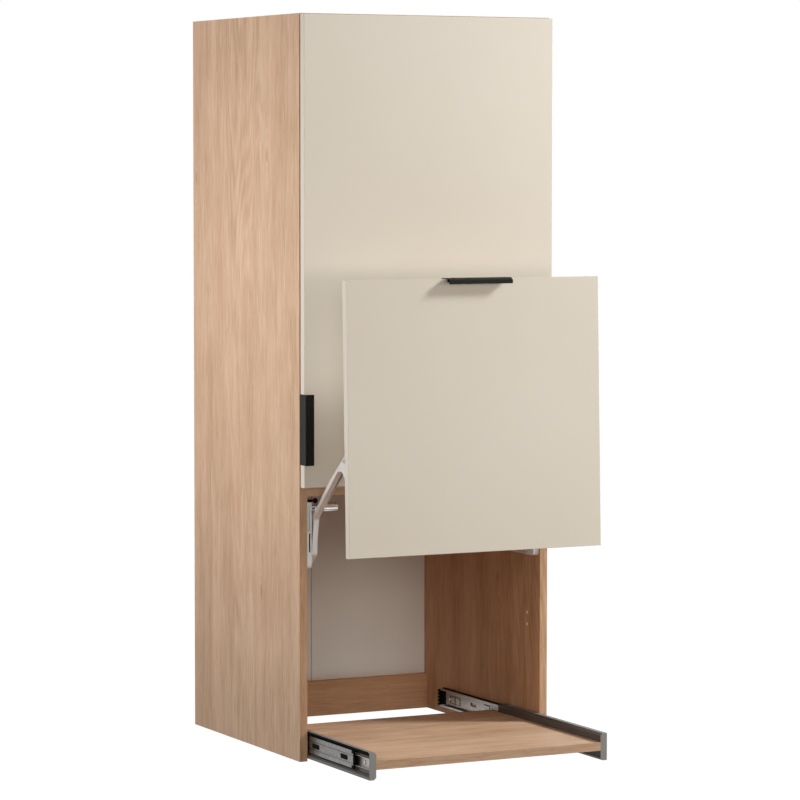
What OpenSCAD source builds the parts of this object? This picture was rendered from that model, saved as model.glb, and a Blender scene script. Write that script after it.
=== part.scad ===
// Kitchen wall cabinet: a tall carcass with a side-hung door above, a lift-up flap below it
// and a pull-out appliance shelf at the base. The model shows it with the flap raised and the
// shelf drawn out. X runs across the front, Y from the front to the wall, Z upwards.
// The origin is the middle of the back face at the base, so the front edges lie at -case_d.

/* [Carcass] */
// Width over both side panels
case_w = 600; // [500:1:700]
// Height of the side panels
case_h = 1586; // [1450:1:1800]
// Depth of the side panels, wall to front edge
case_d = 560; // [540:1:620]
// Thickness of the carcass boards
board_t = 18; // [16:1:20]
// Underside of the fixed shelf above the base
fixed_shelf_z = 567; // [566:1:572]
// Height of the bottom back rail
rail_h = 81; // [60:1:120]
// Thickness of the bottom back rail
rail_t = 18; // [16:1:20]
// Thickness of the back panel
back_t = 3; // [3:0.5:4]
// Depth of the rebate that takes the back panel
rebate_depth = 4; // [4:0.5:6]
// Width of the rebate that takes the back panel
rebate_w = 9; // [6:1:12]
// Distance of the back panel's joint from the middle, to the left
seam_offset = 15; // [0:1:60]
// Width of the strip that joins the back panel's halves
strip_w = 14; // [10:1:20]
// Thickness of the joint strip's web and flanges
strip_t = 0.8; // [0.6:0.1:1]
// Distance of the two adjustable shelves' front from the front edge
loose_in = 25; // [20:1:140]
// Height of the lower adjustable shelf's underside
lower_loose_z = 890; // [850:1:950]
// Height of the upper adjustable shelf's underside
upper_loose_z = 1218; // [1150:1:1300]
// Gap between an adjustable shelf and each side panel
loose_gap = 1; // [0.5:0.1:2]

/* [Bores in the side panels] */
// Diameter of the shelf support bores
support_d = 5; // [4:0.5:6]
// Vertical pitch of the shelf support bores
support_pitch = 32; // [25:1:40]
// Distance of the front bores from the front edge
front_row = 58; // [40:1:70]
// Distance of the rear bores from the back face
rear_row = 60; // [40:1:80]
// Diameter of the two spare bores beside the appliance bay
spare_d = 3; // [2:0.5:5]
// Distance between the two spare bores
spare_pitch = 26; // [20:1:40]
// Height of the lower spare bore
spare_z = 254.5; // [200:0.5:300]
// Depth of every blind bore in a side panel
bore_deep = 12; // [9:1:13]
// Diameter of the wood screws
screw_d = 3.5; // [3:0.5:4]

/* [Fronts] */
// Thickness of the door and the flap
front_t = 18; // [16:1:20]
// Gap between the fronts and the carcass edges
front_gap = 2; // [2:0.5:3]
// Reveal between a front and the cabinet's outer sides and top
front_reveal = 2; // [1.5:0.5:4]
// Joint between the shut flap and the door
front_joint = 2.5; // [2.5:0.5:4]
// Height of the flap
flap_h = 574; // [560:1:574]
// Height of the shut flap's lower edge
flap_foot = 10; // [4:1:12]
// Length of each handle
handle_l = 150; // [100:1:200]
// Sheet thickness of the handles
handle_t = 1.5; // [1.2:0.1:1.8]
// Distance from the face of a front to the outside of a handle's lip
handle_out = 10; // [8:0.5:14]
// Width of the door handle's lip
door_lip = 20; // [14:1:26]
// Width of the flap handle's lip
flap_lip = 9; // [6:1:14]
// Length of a handle's leg behind the front
handle_leg = 16; // [10:1:20]
// Distance of the door handle from the door's lower edge
door_handle_up = 48; // [30:1:120]
// Distance of the flap handle's middle from the cabinet's middle
flap_handle_side = 7; // [0:1:60]
// Radius of the small rounding on the fronts' face edges
front_round = 1; // [0.5:0.1:1.5]

/* [Door hinges] */
// Diameter of the hinge cups
cup_d = 35; // [26:1:40]
// Depth of the hinge cups
cup_deep = 12; // [10:0.5:13]
// Distance of a cup's middle from the door's hinge edge
cup_edge = 22.5; // [20:0.5:26]
// Distance of the top and bottom hinges from the door's ends
hinge_end = 100; // [60:1:200]
// Distance of the hinge plates' middle from the front edge
plate_in = 37; // [32:1:45]

/* [Flap lift] */
// How far the flap rises from shut to open
flap_rise = 448.3; // [440:0.1:455]
// How far the flap stands out further than when it is shut
flap_reach = 219.1; // [212:0.1:226]
// Lean of the open flap, its top towards the cabinet
flap_tilt = 1.74; // [0:0.01:4]
// Length of the lift arms between their pins
lift_arm_l = 272.5; // [268:0.5:280]
// Length of the guide arms between their pins
guide_arm_l = 272.5; // [268:0.5:280]
// Height of the lift arm's pin above the flap's lower edge
lift_pin_up = 259; // [250:1:265]
// Distance of the lift arm's pin behind the flap
lift_pin_back = 17; // [16:0.5:20]
// Height of the guide arm's pin above the flap's lower edge
guide_pin_up = 161; // [155:1:168]
// Distance of the guide arm's pin behind the flap
guide_pin_back = 53.7; // [50:0.1:58]
// Width of both arms' channels
arm_w = 12; // [10:0.5:13]
// Sheet thickness of the arms and of the flap brackets
arm_sheet = 2; // [1.5:0.1:2.5]
// Depth of the lift arm
lift_arm_d = 16; // [14:0.5:18]
// Diameter of the arms' ends round the pins
arm_eye_d = 18; // [16:0.5:20]
// Diameter of the guide arm's lobe round its lower pivot
lobe_d = 56; // [48:1:60]
// How far the guide arm's middle lies under the line through its pins
guide_crank = 37.5; // [36:0.5:39]
// Diameter of the arms' pins
pin_d = 8; // [6:0.5:9]
// Play of a pin in its bore, on the radius
pin_play = 0.06; // [0.03:0.01:0.1]
// Play of the guide arm's upper pin in the flap bracket, on the radius
open_play = 2.2; // [1.8:0.1:3]
// Thickness of the lift housings
housing_t = 13.5; // [12:0.5:16]
// Distance of the housings from the front edge
housing_in = 6; // [4:0.5:12]
// Depth of the housings, front to back
housing_d = 102; // [80:1:140]
// Height of the housing above the lift arm's pivot
housing_over = 12.5; // [11:0.5:16]
// Height of the housing below the guide arm's pivot
housing_under = 31; // [20:1:40]
// Running gap between neighbouring pieces of the lift
lift_gap = 1.5; // [1:0.1:2.5]
// Diameter of the barrel on the lift arm's pivot
barrel_d = 18; // [14:0.5:20]
// Length of the barrel
barrel_l = 32; // [20:1:60]

/* [Pull-out shelf] */
// How far the shelf is drawn out
shelf_travel = 300; // [200:1:320]
// Height of the board's underside above the base
shelf_z = 27; // [26:1:30]
// Gap between the pushed-in board and the bottom rail
shelf_back = 45; // [40:1:60]
// Distance of the pushed-in shelf's front from the front edge
shelf_in = 2; // [1:0.5:6]
// Height of the side profiles
profile_h = 58; // [56:1:62]
// Lower edge of the side profiles above the base
profile_z = 6; // [4:0.5:8]
// Length of the side profiles
profile_l = 460; // [455:1:480]
// Width of the side profiles
profile_w = 15; // [14:0.5:15.5]
// Wall of the side profiles
profile_t = 2.2; // [1.8:0.1:2.5]
// Height of the profile's lower lip
lower_lip = 9; // [7:0.5:9.5]
// Chamfer along the profile's inner edges
profile_chamfer = 5; // [2:0.5:6]
// Gap between a profile and the side panel
profile_gap = 1; // [0.5:0.1:2]

/* [Ball slides] */
// Length of each slide member
slide_l = 450; // [440:1:455]
// Height of the slides' middle line above the base
slide_z = 37; // [36.5:0.5:37.5]
// Height of the carcass member
outer_h = 42; // [41:0.5:43]
// Height of the middle member
middle_h = 37; // [36:0.5:38]
// Height of the shelf member
inner_h = 24; // [22:0.5:25]
// Sheet thickness of the members
slide_sheet = 1.2; // [1:0.1:1.3]
// Share of the shelf's travel that the middle member moves
middle_share = 0.753; // [0.7:0.001:0.8]
// Diameter of the balls between the carcass and middle members
outer_ball_d = 3.5; // [3.2:0.1:3.7]
// Diameter of the balls between the middle and shelf members
inner_ball_d = 2.5; // [2:0.1:2.7]
// Spacing of the balls along a cage
ball_pitch = 24; // [18:1:40]
// Length of a ball cage
cage_l = 130; // [100:1:160]

/* [Hidden] */
$fn = 48;

oak = "#cfa67f";
oak_shade = "#b98c66";
cashmere = "#d9cdbf";
panel_grey = "#d8d5cf";
profile_grey = "#8f9294";
zinc = "#b9bcbe";
lift_grey = "#d4d7d9";
black_metal = "#1f1e1d";
plastic_grey = "#a9abab";

// Shared lines of the carcass
cut = 1;
half_w = case_w / 2;
inside = half_w - board_t;
front_y = -case_d;
panel_front = -rebate_depth;
top_z = case_h - board_t;
fixed_shelf_top = fixed_shelf_z + board_t;
seam_x = -seam_offset;
panel_reach = inside + rebate_w - 0.5;
loose_half = inside - loose_gap;
loose_back = panel_front - strip_t - 10;
support_r = support_d / 2;
support_peg = 9;
support_seat = 8;
support_rim_t = 0.8 * loose_gap;
cam_r = 7.5;
cam_deep = board_t * 0.7;
cam_in = 24;
hanger_w = 16;
hanger_h = 58;
hanger_l = 46;
hanger_gap = 8;
notch_w = 26;

// Screws that fasten into the side panels
head_r = screw_d;
head_t = 1.2;
slide_screw_at = [35, 163, 419];
profile_screw_at = [46, 190, 400];
outer_slot_at = [90, 290];
middle_slot_at = [50, 190, 332];
shank = bore_deep - 0.5;
screw_r = screw_d / 2;
small_r = 1.5;
small_head_r = 2.8;

// Fronts: the door, and the flap as it stands shut
front_half = half_w - front_reveal;
face_y = front_y - front_gap - front_t;
door_z = flap_foot + flap_h + front_joint;
door_h = case_h - front_reveal - door_z;
door_handle_z = door_z + door_handle_up;
flap_handle_x = flap_handle_side - handle_l / 2;
handle_screw_in = 20;
bumper_r = 4;
bumper_t = front_gap - 0.4;

// Hinges
cup_r = cup_d / 2;
cup_wall = 1.2;
cup_x = front_half - cup_edge;
door_back = front_y - front_gap;
hinge_pin_x = cup_x - 8;
hinge_pin_y = door_back + 5.5;
hinge_pin_r = 1.5;
hinge_zs = [door_z + hinge_end, door_z + door_h / 2, door_z + door_h - hinge_end];
plate_y = front_y + plate_in;
plate_t = 3;
plate_l = 52;
plate_h = 20;
plate_screw_gap = 32;
hinge_arm_h = 15;
cup_flange_t = 1;
cup_screw_gap = 48;
cup_screw_x = cup_x - 9.5;

// Flap lift, drawn in the plane [distance behind the front edge, height].
// Each arm swings between the open and the shut place of its pin on the flap.
flap_open_foot = [-front_gap - front_t - flap_reach, flap_foot + flap_rise];
flap_back = [cos(flap_tilt), -sin(flap_tilt)];
flap_up = [sin(flap_tilt), cos(flap_tilt)];
flap_corner = flap_open_foot + front_t * flap_back;
lift_pin_open = flap_corner + lift_pin_back * flap_back + lift_pin_up * flap_up;
guide_pin_open = flap_corner + guide_pin_back * flap_back + guide_pin_up * flap_up;
lift_pin_shut = [lift_pin_back - front_gap, flap_foot + lift_pin_up];
guide_pin_shut = [guide_pin_back - front_gap, flap_foot + guide_pin_up];
lift_pivot = arm_pivot(lift_pin_open, lift_pin_shut, lift_arm_l);
guide_pivot = arm_pivot(guide_pin_open, guide_pin_shut, guide_arm_l);
lift_angle = direction(lift_pin_open - lift_pivot);
guide_angle = direction(guide_pin_open - guide_pivot);
pin_r = pin_d / 2;
eye_r = arm_eye_d / 2;
lobe_r = lobe_d / 2;
housing_x = inside - housing_t;
guide_x = housing_x - lift_gap;
lift_x = guide_x - arm_w - 2 * lift_gap;
ear_x = lift_x - arm_w - lift_gap;
housing_top = lift_pivot[1] + housing_over;
housing_foot = guide_pivot[1] - housing_under;
housing_h = housing_top - housing_foot;
housing_edge = 12;
housing_screws_at = [[housing_d - housing_edge, housing_edge],
    [housing_d - housing_edge, housing_h - housing_edge], [housing_d * 0.6, housing_edge]];
pin_seat = 7;
collar_r = pin_r + 2;
pin_head_t = 1.2;
flange_low = guide_pin_up - 22;
flange_high = lift_pin_up + 24;
flange_w = 30;
bracket_screws_at = [flange_low + 14, (flange_low + flange_high) / 2, flange_high - 14];

// Pull-out shelf and slides; shelf_y is the drawn-out front
shelf_y = front_y + shelf_in - shelf_travel;
shelf_d = case_d - shelf_in - rail_t - shelf_back;
profile_x = inside - profile_gap;
profile_in = profile_x - profile_w;
profile_web = profile_in + profile_t;
profile_top = profile_z + profile_h;
cap_t = 2;
slide_y = front_y + shelf_in + cap_t + 0.5;
slide_s = inside - profile_web;
middle_y = slide_y - shelf_travel * middle_share;
inner_y = shelf_y + 6;
outer_cage_home = 172;
inner_cage_home = 153;
outer_cage_y = slide_y + outer_cage_home - shelf_travel * middle_share / 2;
inner_cage_y = slide_y + inner_cage_home - shelf_travel * (1 + middle_share) / 2;
middle_web = 2.8;
middle_inside = middle_web + slide_sheet;
track_out = outer_h / 2 - slide_sheet;
track_in = track_out - outer_ball_d - 0.3;
inner_track = track_in - slide_sheet;
outer_lip_s = 10.5;
middle_reach = outer_lip_s - slide_sheet - 0.3;
inner_reach = 6.2;
member_cut = 12;
stop_l = 6;
stop_tongue = 12;
stop_t = 1.6;
stop_half_h = 11;

function direction(v) = atan2(v[1], v[0]);
// Pivot of an arm of length arm_l that carries its pin from open_pin to shut_pin
function arm_pivot(open_pin, shut_pin, arm_l) =
    let (chord = shut_pin - open_pin, rise = sqrt(arm_l * arm_l - chord * chord / 4))
    (open_pin + shut_pin) / 2 + rise * [-chord[1], chord[0]] / norm(chord);
function unit(v) = v / norm(v);
// Points of an arc that rounds the corner q of the path p, q, s
function corner(p, q, s, r, steps) =
    let (
        u = unit(p - q),
        v = unit(s - q),
        half = acos(u * v) / 2,
        c = q + unit(u + v) * r / sin(half),
        start = direction(q + u * r / tan(half) - c),
        turn = (u[0] * v[1] - u[1] * v[0] > 0 ? -1 : 1) * (180 - 2 * half)
    )
    [for (i = [0:steps]) c + r * [cos(start + turn * i / steps), sin(start + turn * i / steps)]];
// Closed outline through [x, y, radius] corners, each rounded to its radius
function rounded(path, steps = 6) =
    let (n = len(path))
    [for (i = [0:n - 1])
        let (
            before = path[(i + n - 1) % n],
            here = path[i],
            after = path[(i + 1) % n]
        )
        each here[2] > 0
            ? corner([before[0], before[1]], [here[0], here[1]], [after[0], after[1]], here[2], steps)
            : [[here[0], here[1]]]];
// Closed outline that is the same above and below the line z = 0
function both_halves(upper) =
    concat(upper, [for (i = [len(upper) - 1:-1:0]) [upper[i][0], -upper[i][1]]]);
function box_path(x0, y0, x1, y1, r) = [[x0, y0, r], [x1, y0, r], [x1, y1, r], [x0, y1, r]];

// Extrudes a flat outline of [Y, Z] along X, from x to x + l
module along_x(x, l) {
    translate([x, 0, 0]) rotate([90, 0, 90]) linear_extrude(l) children();
}
// Extrudes a flat outline of [X, Z] along Y, from y to y + l
module along_y(y, l) {
    translate([0, y + l, 0]) rotate([90, 0, 0]) linear_extrude(l) children();
}
module rod_x(x, l, r) {
    translate([x, 0, 0]) rotate([0, 90, 0]) cylinder(h = l, r = r);
}
module rod_y(y, l, r) {
    translate([0, y, 0]) rotate([-90, 0, 0]) cylinder(h = l, r = r);
}
module left_side() {
    mirror([1, 0, 0]) children();
}
// Places a piece drawn in the lift's plane
module in_lift(p) {
    translate([0, front_y + p[0], p[1]]) children();
}
// Places a piece drawn on the flap: Y behind its back face, Z up from its lower edge
module on_flap() {
    in_lift(flap_corner) rotate([-flap_tilt, 0, 0]) children();
}

// Carcass side as the right-hand panel; bores open towards the middle
module side_board() {
    difference() {
        translate([inside, front_y, 0]) cube([board_t, case_d, case_h]);
        translate([inside - cut, panel_front, rail_h - rebate_w])
            cube([rebate_w + cut, rebate_depth + cut, top_z + rebate_w - rail_h + rebate_w]);
        for (y = [front_y + front_row, -rear_row])
            for (z = [lower_loose_z, upper_loose_z])
                for (k = [-1:1])
                    translate([0, y, z - support_r + k * support_pitch])
                        rod_x(inside - cut, bore_deep + cut, support_r);
        for (k = [0:1])
            translate([0, front_y + front_row, spare_z + k * spare_pitch])
                rod_x(inside - cut, bore_deep + cut, spare_d / 2);
        for (y = slide_screw_at)
            translate([0, slide_y + y, slide_z]) rod_x(inside - cut, bore_deep + cut, screw_r);
        for (p = housing_screws_at)
            translate([0, front_y + housing_in + p[0], housing_foot + p[1]])
                rod_x(inside - cut, bore_deep + cut, screw_r);
    }
}
module side_left() {
    color(oak) left_side() side_board();
}
module side_right() {
    color(oak) difference() {
        side_board();
        plate_screw_places() rod_x(inside - cut, bore_deep + cut, screw_r);
    }
}

// Pockets for the cam fittings, bored up into a horizontal board
module cam_places(z) {
    for (s = [-1, 1])
        for (y = [front_y + rear_row, -rear_row])
            translate([s * (inside - cam_in), y, z]) children();
}
module top_panel() {
    color(oak) difference() {
        translate([-inside, front_y, top_z]) cube([2 * inside, case_d, board_t]);
        translate([-inside - cut, panel_front, top_z - cut])
            cube([2 * (inside + cut), rebate_depth + cut, rebate_w + cut]);
        cam_places(top_z - cut) cylinder(h = cam_deep + cut, r = cam_r);
    }
}
module fixed_shelf() {
    color(oak_shade) difference() {
        translate([-inside, front_y, fixed_shelf_z])
            cube([2 * inside, case_d - rebate_depth - strip_t, board_t]);
        cam_places(fixed_shelf_z - cut) cylinder(h = cam_deep + cut, r = cam_r);
    }
}
module loose_shelf(z) {
    loose_front = front_y + loose_in;
    translate([-loose_half, loose_front, z])
        cube([2 * loose_half, loose_back - loose_front, board_t]);
}
module lower_shelf() {
    color(oak_shade) loose_shelf(lower_loose_z);
}
module upper_shelf() {
    color(oak_shade) loose_shelf(upper_loose_z);
}
// Push-in shelf supports: a peg in the side panel and a ledge under the shelf
module shelf_supports() {
    color(zinc) for (s = [0, 1]) mirror([s, 0, 0])
        for (y = [front_y + front_row, -rear_row])
            for (z = [lower_loose_z, upper_loose_z])
                translate([0, y, z - support_r]) {
                    rod_x(inside - support_seat, support_peg + support_seat, support_r);
                    rod_x(inside - support_rim_t, support_rim_t, support_r + 1.2);
                }
}
module corner_cams() {
    color(zinc) for (z = [top_z, fixed_shelf_z])
        cam_places(z) difference() {
            cylinder(h = cam_deep, r = cam_r);
            translate([0, 0, -cut]) linear_extrude(cut + 2.5) union() {
                square([9, 1.6], center = true);
                square([1.6, 9], center = true);
            }
        }
}

// Back panel in two halves, notched for the wall hangers and joined by an H strip
module back_half(x0, x1, notch) {
    difference() {
        translate([x0, panel_front, rail_h - rebate_w])
            cube([x1 - x0, back_t, top_z + rebate_w - 0.5 - rail_h + rebate_w]);
        translate([notch, panel_front - cut, top_z - hanger_gap - hanger_h])
            cube([notch_w, back_t + 2 * cut, hanger_h]);
    }
}
module back_panel_left() {
    color(panel_grey) back_half(-panel_reach, seam_x - strip_t / 2, -inside);
}
module back_panel_right() {
    color(panel_grey) back_half(seam_x + strip_t / 2, panel_reach, inside - notch_w);
}
module back_joint_strip() {
    strip_z = rail_h;
    strip_h = top_z - rail_h;
    color("#efece6") translate([seam_x, 0, strip_z]) {
        translate([-strip_t / 2, panel_front, 0]) cube([strip_t, back_t, strip_h]);
        translate([-strip_w / 2, panel_front - strip_t, 0]) cube([strip_w, strip_t, strip_h]);
        translate([-strip_w / 2, panel_front + back_t, 0]) cube([strip_w, strip_t, strip_h]);
    }
}
module back_rail() {
    color(oak_shade) difference() {
        translate([-inside, -rail_t, 0]) cube([2 * inside, rail_t, rail_h]);
        translate([-inside - cut, panel_front, rail_h - rebate_w])
            cube([2 * (inside + cut), rebate_depth + cut, rebate_w + cut]);
    }
}

// Cabinet hanger: a moulded body on the side panel with a steel hook through the back panel
module wall_hanger() {
    body_y = panel_front - hanger_l;
    body_z = top_z - hanger_gap - hanger_h;
    recess_deep = 9;
    recess_r = 4;
    color(plastic_grey) translate([inside - hanger_w, 0, body_z]) {
        difference() {
            along_x(0, hanger_w)
                polygon(rounded([[body_y, 6, 3], [body_y + 12, 0, 3], [panel_front, 0, 0],
                    [panel_front, hanger_h, 0], [body_y, hanger_h, 3]]));
            for (z = [0.3, 0.62])
                translate([hanger_w / 2, body_y - cut, hanger_h * z]) rod_y(0, recess_deep, recess_r);
        }
        along_x(4, 3)
            polygon([[panel_front, 12], [-0.6, 12], [-0.6, 44], [-2, 44], [-2, 26],
                [panel_front, 26]]);
    }
}
module wall_hanger_left() {
    left_side() wall_hanger();
}
module wall_hanger_right() {
    wall_hanger();
}

// Concealed door hinges: plate on the right side panel, arm, and cup in the door
module plate_screw_places() {
    for (z = hinge_zs)
        for (k = [-0.5, 0.5])
            translate([0, plate_y, z + k * plate_screw_gap]) children();
}
module hinge_plates() {
    color(zinc) difference() {
        for (z = hinge_zs) {
            translate([inside - plate_t, plate_y - plate_l / 2, z - plate_h / 2])
                cube([plate_t, plate_l, plate_h]);
            along_x(inside - plate_t, plate_t)
                translate([plate_y, z])
                    polygon(rounded(box_path(-7, -25, 7, 25, 5)));
        }
        plate_screw_places() rod_x(inside - plate_t - cut, plate_t + 2 * cut, screw_r);
    }
}
module plate_screws() {
    color(zinc) plate_screw_places() {
        rod_x(inside - plate_t - head_t, head_t, head_r);
        rod_x(inside - plate_t, plate_t + shank, screw_r);
    }
}
module hinge_arms() {
    arm_top = inside - plate_t;
    arm_end = plate_y + plate_l / 2;
    eye = hinge_pin_r + 1.6;
    color(zinc) for (z = hinge_zs)
        translate([0, 0, z - hinge_arm_h / 2]) difference() {
            union() {
                linear_extrude(hinge_arm_h)
                    polygon([[arm_top, front_y + 6], [arm_top, arm_end], [arm_top - 9, arm_end],
                        [arm_top - 9, front_y + 10], [hinge_pin_x + 1, hinge_pin_y + eye],
                        [hinge_pin_x + 1, hinge_pin_y - eye + 0.4], [hinge_pin_x + 4, hinge_pin_y]]);
                translate([hinge_pin_x, hinge_pin_y, 0]) cylinder(h = hinge_arm_h, r = eye);
            }
            translate([hinge_pin_x, hinge_pin_y, -cut])
                cylinder(h = hinge_arm_h + 2 * cut, r = hinge_pin_r + pin_play);
            translate([arm_top - 7, front_y + 16, 2])
                cube([7 + cut, arm_end - front_y, hinge_arm_h - 4]);
        }
}
module hinge_cups() {
    flange_half = cup_screw_gap / 2 + 6;
    color(zinc) for (z = hinge_zs)
        translate([0, 0, z]) {
            difference() {
                translate([cup_x, 0, 0]) union() {
                    rod_y(door_back - cup_deep, cup_deep, cup_r);
                    along_y(door_back, cup_flange_t)
                        polygon(rounded(box_path(-cup_r, -flange_half, cup_r - 8, flange_half, 4)));
                }
                translate([cup_x, 0, 0])
                    rod_y(door_back - cup_deep + cup_wall, cup_deep + 2, cup_r - cup_wall - 1);
                for (k = [-0.5, 0.5])
                    translate([cup_screw_x, door_back, k * cup_screw_gap])
                        rod_y(-cut, cup_flange_t + 2 * cut, screw_r);
            }
            translate([hinge_pin_x, hinge_pin_y, -cup_r * 0.7])
                cylinder(h = cup_r * 1.4, r = hinge_pin_r);
            for (s = [-1, 1])
                translate([hinge_pin_x - 3, door_back - 3, s * cup_r * 0.62 - 1.5])
                    cube([6, hinge_pin_y - door_back + 5.5, 3]);
        }
}

module cup_screw_places() {
    for (z = hinge_zs)
        for (k = [-0.5, 0.5])
            translate([cup_screw_x, door_back, z + k * cup_screw_gap]) children();
}
module cup_screws() {
    color(zinc) cup_screw_places() {
        rod_y(cup_flange_t, head_t, head_r);
        rod_y(-shank, shank + cup_flange_t, screw_r);
    }
}

// Handles: one bent strip, hooked over the edge of a front and screwed on from behind.
// The section runs from behind the front, over its edge and down in front as a lip.
module handle_strip(lip) {
    reach = front_t + handle_out;
    difference() {
        linear_extrude(handle_l)
            polygon(rounded([[handle_t, -handle_leg, 0], [handle_t, handle_t, handle_t],
                [-reach, handle_t, handle_t], [-reach, handle_t - lip, 0.6],
                [-reach + handle_t, handle_t - lip, 0.6], [-reach + handle_t, 0, 0.4],
                [0, 0, 0], [0, -handle_leg, 0]], 4));
        handle_screw_places() small_screw(cut);
    }
}
module handle_screw_places() {
    for (z = [handle_screw_in, handle_l - handle_screw_in])
        translate([0, -handle_leg / 2, z]) children();
}
// Countersunk screw, its head flush with the outside of the handle's leg
module small_screw(l) {
    rotate([0, 90, 0]) cylinder(h = handle_t, r1 = small_r, r2 = small_head_r);
    rod_x(-l, l, small_r);
}
module at_door_handle() {
    translate([-front_half, door_back, door_handle_z]) rotate([0, 0, 90]) children();
}
module at_flap_handle() {
    on_flap() translate([flap_handle_x, 0, flap_h]) rotate([90, 0, 90]) children();
}
module rounded_front(h) {
    // Board with its two face edges rounded, X across, Y into the board, Z up
    difference() {
        translate([-front_half, 0, 0]) cube([2 * front_half, front_t, h]);
        for (s = [-1, 1])
            translate([s * front_half, 0, -cut]) rotate([0, 0, s > 0 ? 90 : 0])
                linear_extrude(h + 2 * cut) edge_cove();
        translate([-front_half - cut, 0, 0]) rotate([90, 0, 90])
            linear_extrude(2 * (front_half + cut)) edge_cove();
        translate([front_half + cut, 0, h]) rotate([-90, 0, -90])
            linear_extrude(2 * (front_half + cut)) mirror([1, 0]) rotate(-90) edge_cove();
    }
}
// Waste outside a rounded corner at the origin, for a board that lies in +X, +Y
module edge_cove() {
    difference() {
        translate([-cut, -cut]) square(front_round + cut);
        translate([front_round, front_round]) circle(front_round);
    }
}
module door_panel() {
    color(cashmere) difference() {
        translate([0, face_y, door_z]) rounded_front(door_h);
        for (z = hinge_zs)
            translate([cup_x, 0, z]) rod_y(door_back - cup_deep, cup_deep + cut, cup_r);
        cup_screw_places() rod_y(-bore_deep, bore_deep + cut, screw_r);
        at_door_handle() handle_screw_places() rod_x(-bore_deep, bore_deep + cut, small_r);
    }
}
module door_handle() {
    color(black_metal) at_door_handle() handle_strip(door_lip);
}
module door_handle_screws() {
    color(black_metal) at_door_handle() handle_screw_places() small_screw(shank);
}
module door_bumpers() {
    color("#e8e6e0") for (z = [door_z + 12, door_z + door_h - 12])
        translate([-half_w + board_t / 2, 0, z]) rod_y(door_back, bumper_t, bumper_r);
}

// The lift-up flap and what it carries
module flap_panel() {
    color(cashmere) difference() {
        on_flap() translate([0, -front_t, 0]) rounded_front(flap_h);
        bracket_screw_places() rod_y(-bore_deep, bore_deep + cut, screw_r);
        at_flap_handle() handle_screw_places() rod_x(-bore_deep, bore_deep + cut, small_r);
    }
}
module flap_handle() {
    color(black_metal) at_flap_handle() handle_strip(flap_lip);
}
module flap_handle_screws() {
    color(black_metal) at_flap_handle() handle_screw_places() small_screw(shank);
}
module flap_bumpers() {
    color("#e8e6e0") on_flap() for (s = [-1, 1])
        for (z = [20, flap_h - 30])
            translate([s * (half_w - board_t / 2), 0, z]) rod_y(0, bumper_t, bumper_r);
}
// Bracket as drawn on the right: a flange on the flap and an ear that carries both pins
module flap_bracket() {
    color(zinc) on_flap() {
        difference() {
            union() {
                translate([ear_x - arm_sheet, 0, flange_low])
                    cube([flange_w, arm_sheet, flange_high - flange_low]);
                along_x(ear_x - arm_sheet, arm_sheet) difference() {
                    polygon(rounded([[0, flange_low, 0], [guide_pin_back - 4, guide_pin_up - 11, 6],
                        [guide_pin_back + 11, guide_pin_up - 4, 8],
                        [guide_pin_back + 6, guide_pin_up + 12, 8],
                        [lift_pin_back + 14, guide_pin_up + 46, 20],
                        [lift_pin_back + 11, lift_pin_up + 6, 10],
                        [lift_pin_back - 4, lift_pin_up + 13, 8], [0, flange_high, 0]]));
                    translate([guide_pin_back, guide_pin_up]) circle(pin_r + open_play);
                }
                translate([0, lift_pin_back, lift_pin_up])
                    rod_x(ear_x - arm_sheet - pin_head_t, pin_head_t, pin_r + 2);
            }
            for (z = bracket_screws_at)
                translate([ear_x + flange_w / 2, 0, z])
                    rod_y(-cut, arm_sheet + 2 * cut, screw_r);
        }
        translate([0, lift_pin_back, lift_pin_up]) {
            rod_x(ear_x, lift_gap - 0.3, collar_r);
            rod_x(ear_x - arm_sheet, arm_sheet + arm_w + lift_gap + 0.6, pin_r);
            rod_x(lift_x + 0.3, 0.9, collar_r - 0.5);
        }
    }
}
module flap_bracket_left() {
    left_side() flap_bracket();
}
module flap_bracket_right() {
    flap_bracket();
}
module bracket_screw_places() {
    on_flap() for (s = [0, 1]) mirror([s, 0, 0])
        for (z = bracket_screws_at)
            translate([ear_x + flange_w / 2, 0, z]) children();
}
module bracket_screws() {
    color(zinc) bracket_screw_places() {
        rod_y(arm_sheet, head_t, head_r);
        rod_y(-shank, shank + arm_sheet, screw_r);
    }
}

// Lift housing on the right side panel: a flat cover with bosses under the arms
module lift_housing() {
    color(lift_grey) difference() {
        union() {
            along_x(housing_x, housing_t)
                translate([front_y + housing_in, housing_foot])
                    polygon(rounded([[0, 0, 8], [housing_d, 0, 4], [housing_d, housing_h, 4],
                        [0, housing_h, 5]]));
            in_lift(guide_pivot) rod_x(housing_x - lift_gap + 0.3, lift_gap, lobe_r * 0.6);
        }
        in_lift(lift_pivot) rod_x(housing_x - cut, pin_seat + cut, pin_r);
        in_lift(guide_pivot) rod_x(housing_x - lift_gap - cut, lift_gap + pin_seat + cut, pin_r);
        translate([housing_x + housing_t * 0.3, front_y + housing_in - cut,
            housing_top - housing_h * 0.44])
            cube([housing_t * 0.4, 6 + cut, housing_h * 0.37]);
        translate([housing_x - cut, front_y + housing_in + housing_d * 0.55,
            housing_foot + housing_h * 0.18])
            cube([2 + cut, housing_d * 0.3, housing_h * 0.5]);
        for (p = housing_screws_at)
            translate([0, front_y + housing_in + p[0], housing_foot + p[1]])
                rod_x(housing_x - cut, housing_t + 2 * cut, screw_r);
    }
}
module lift_housing_left() {
    left_side() lift_housing();
}
module lift_housing_right() {
    lift_housing();
}
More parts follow.
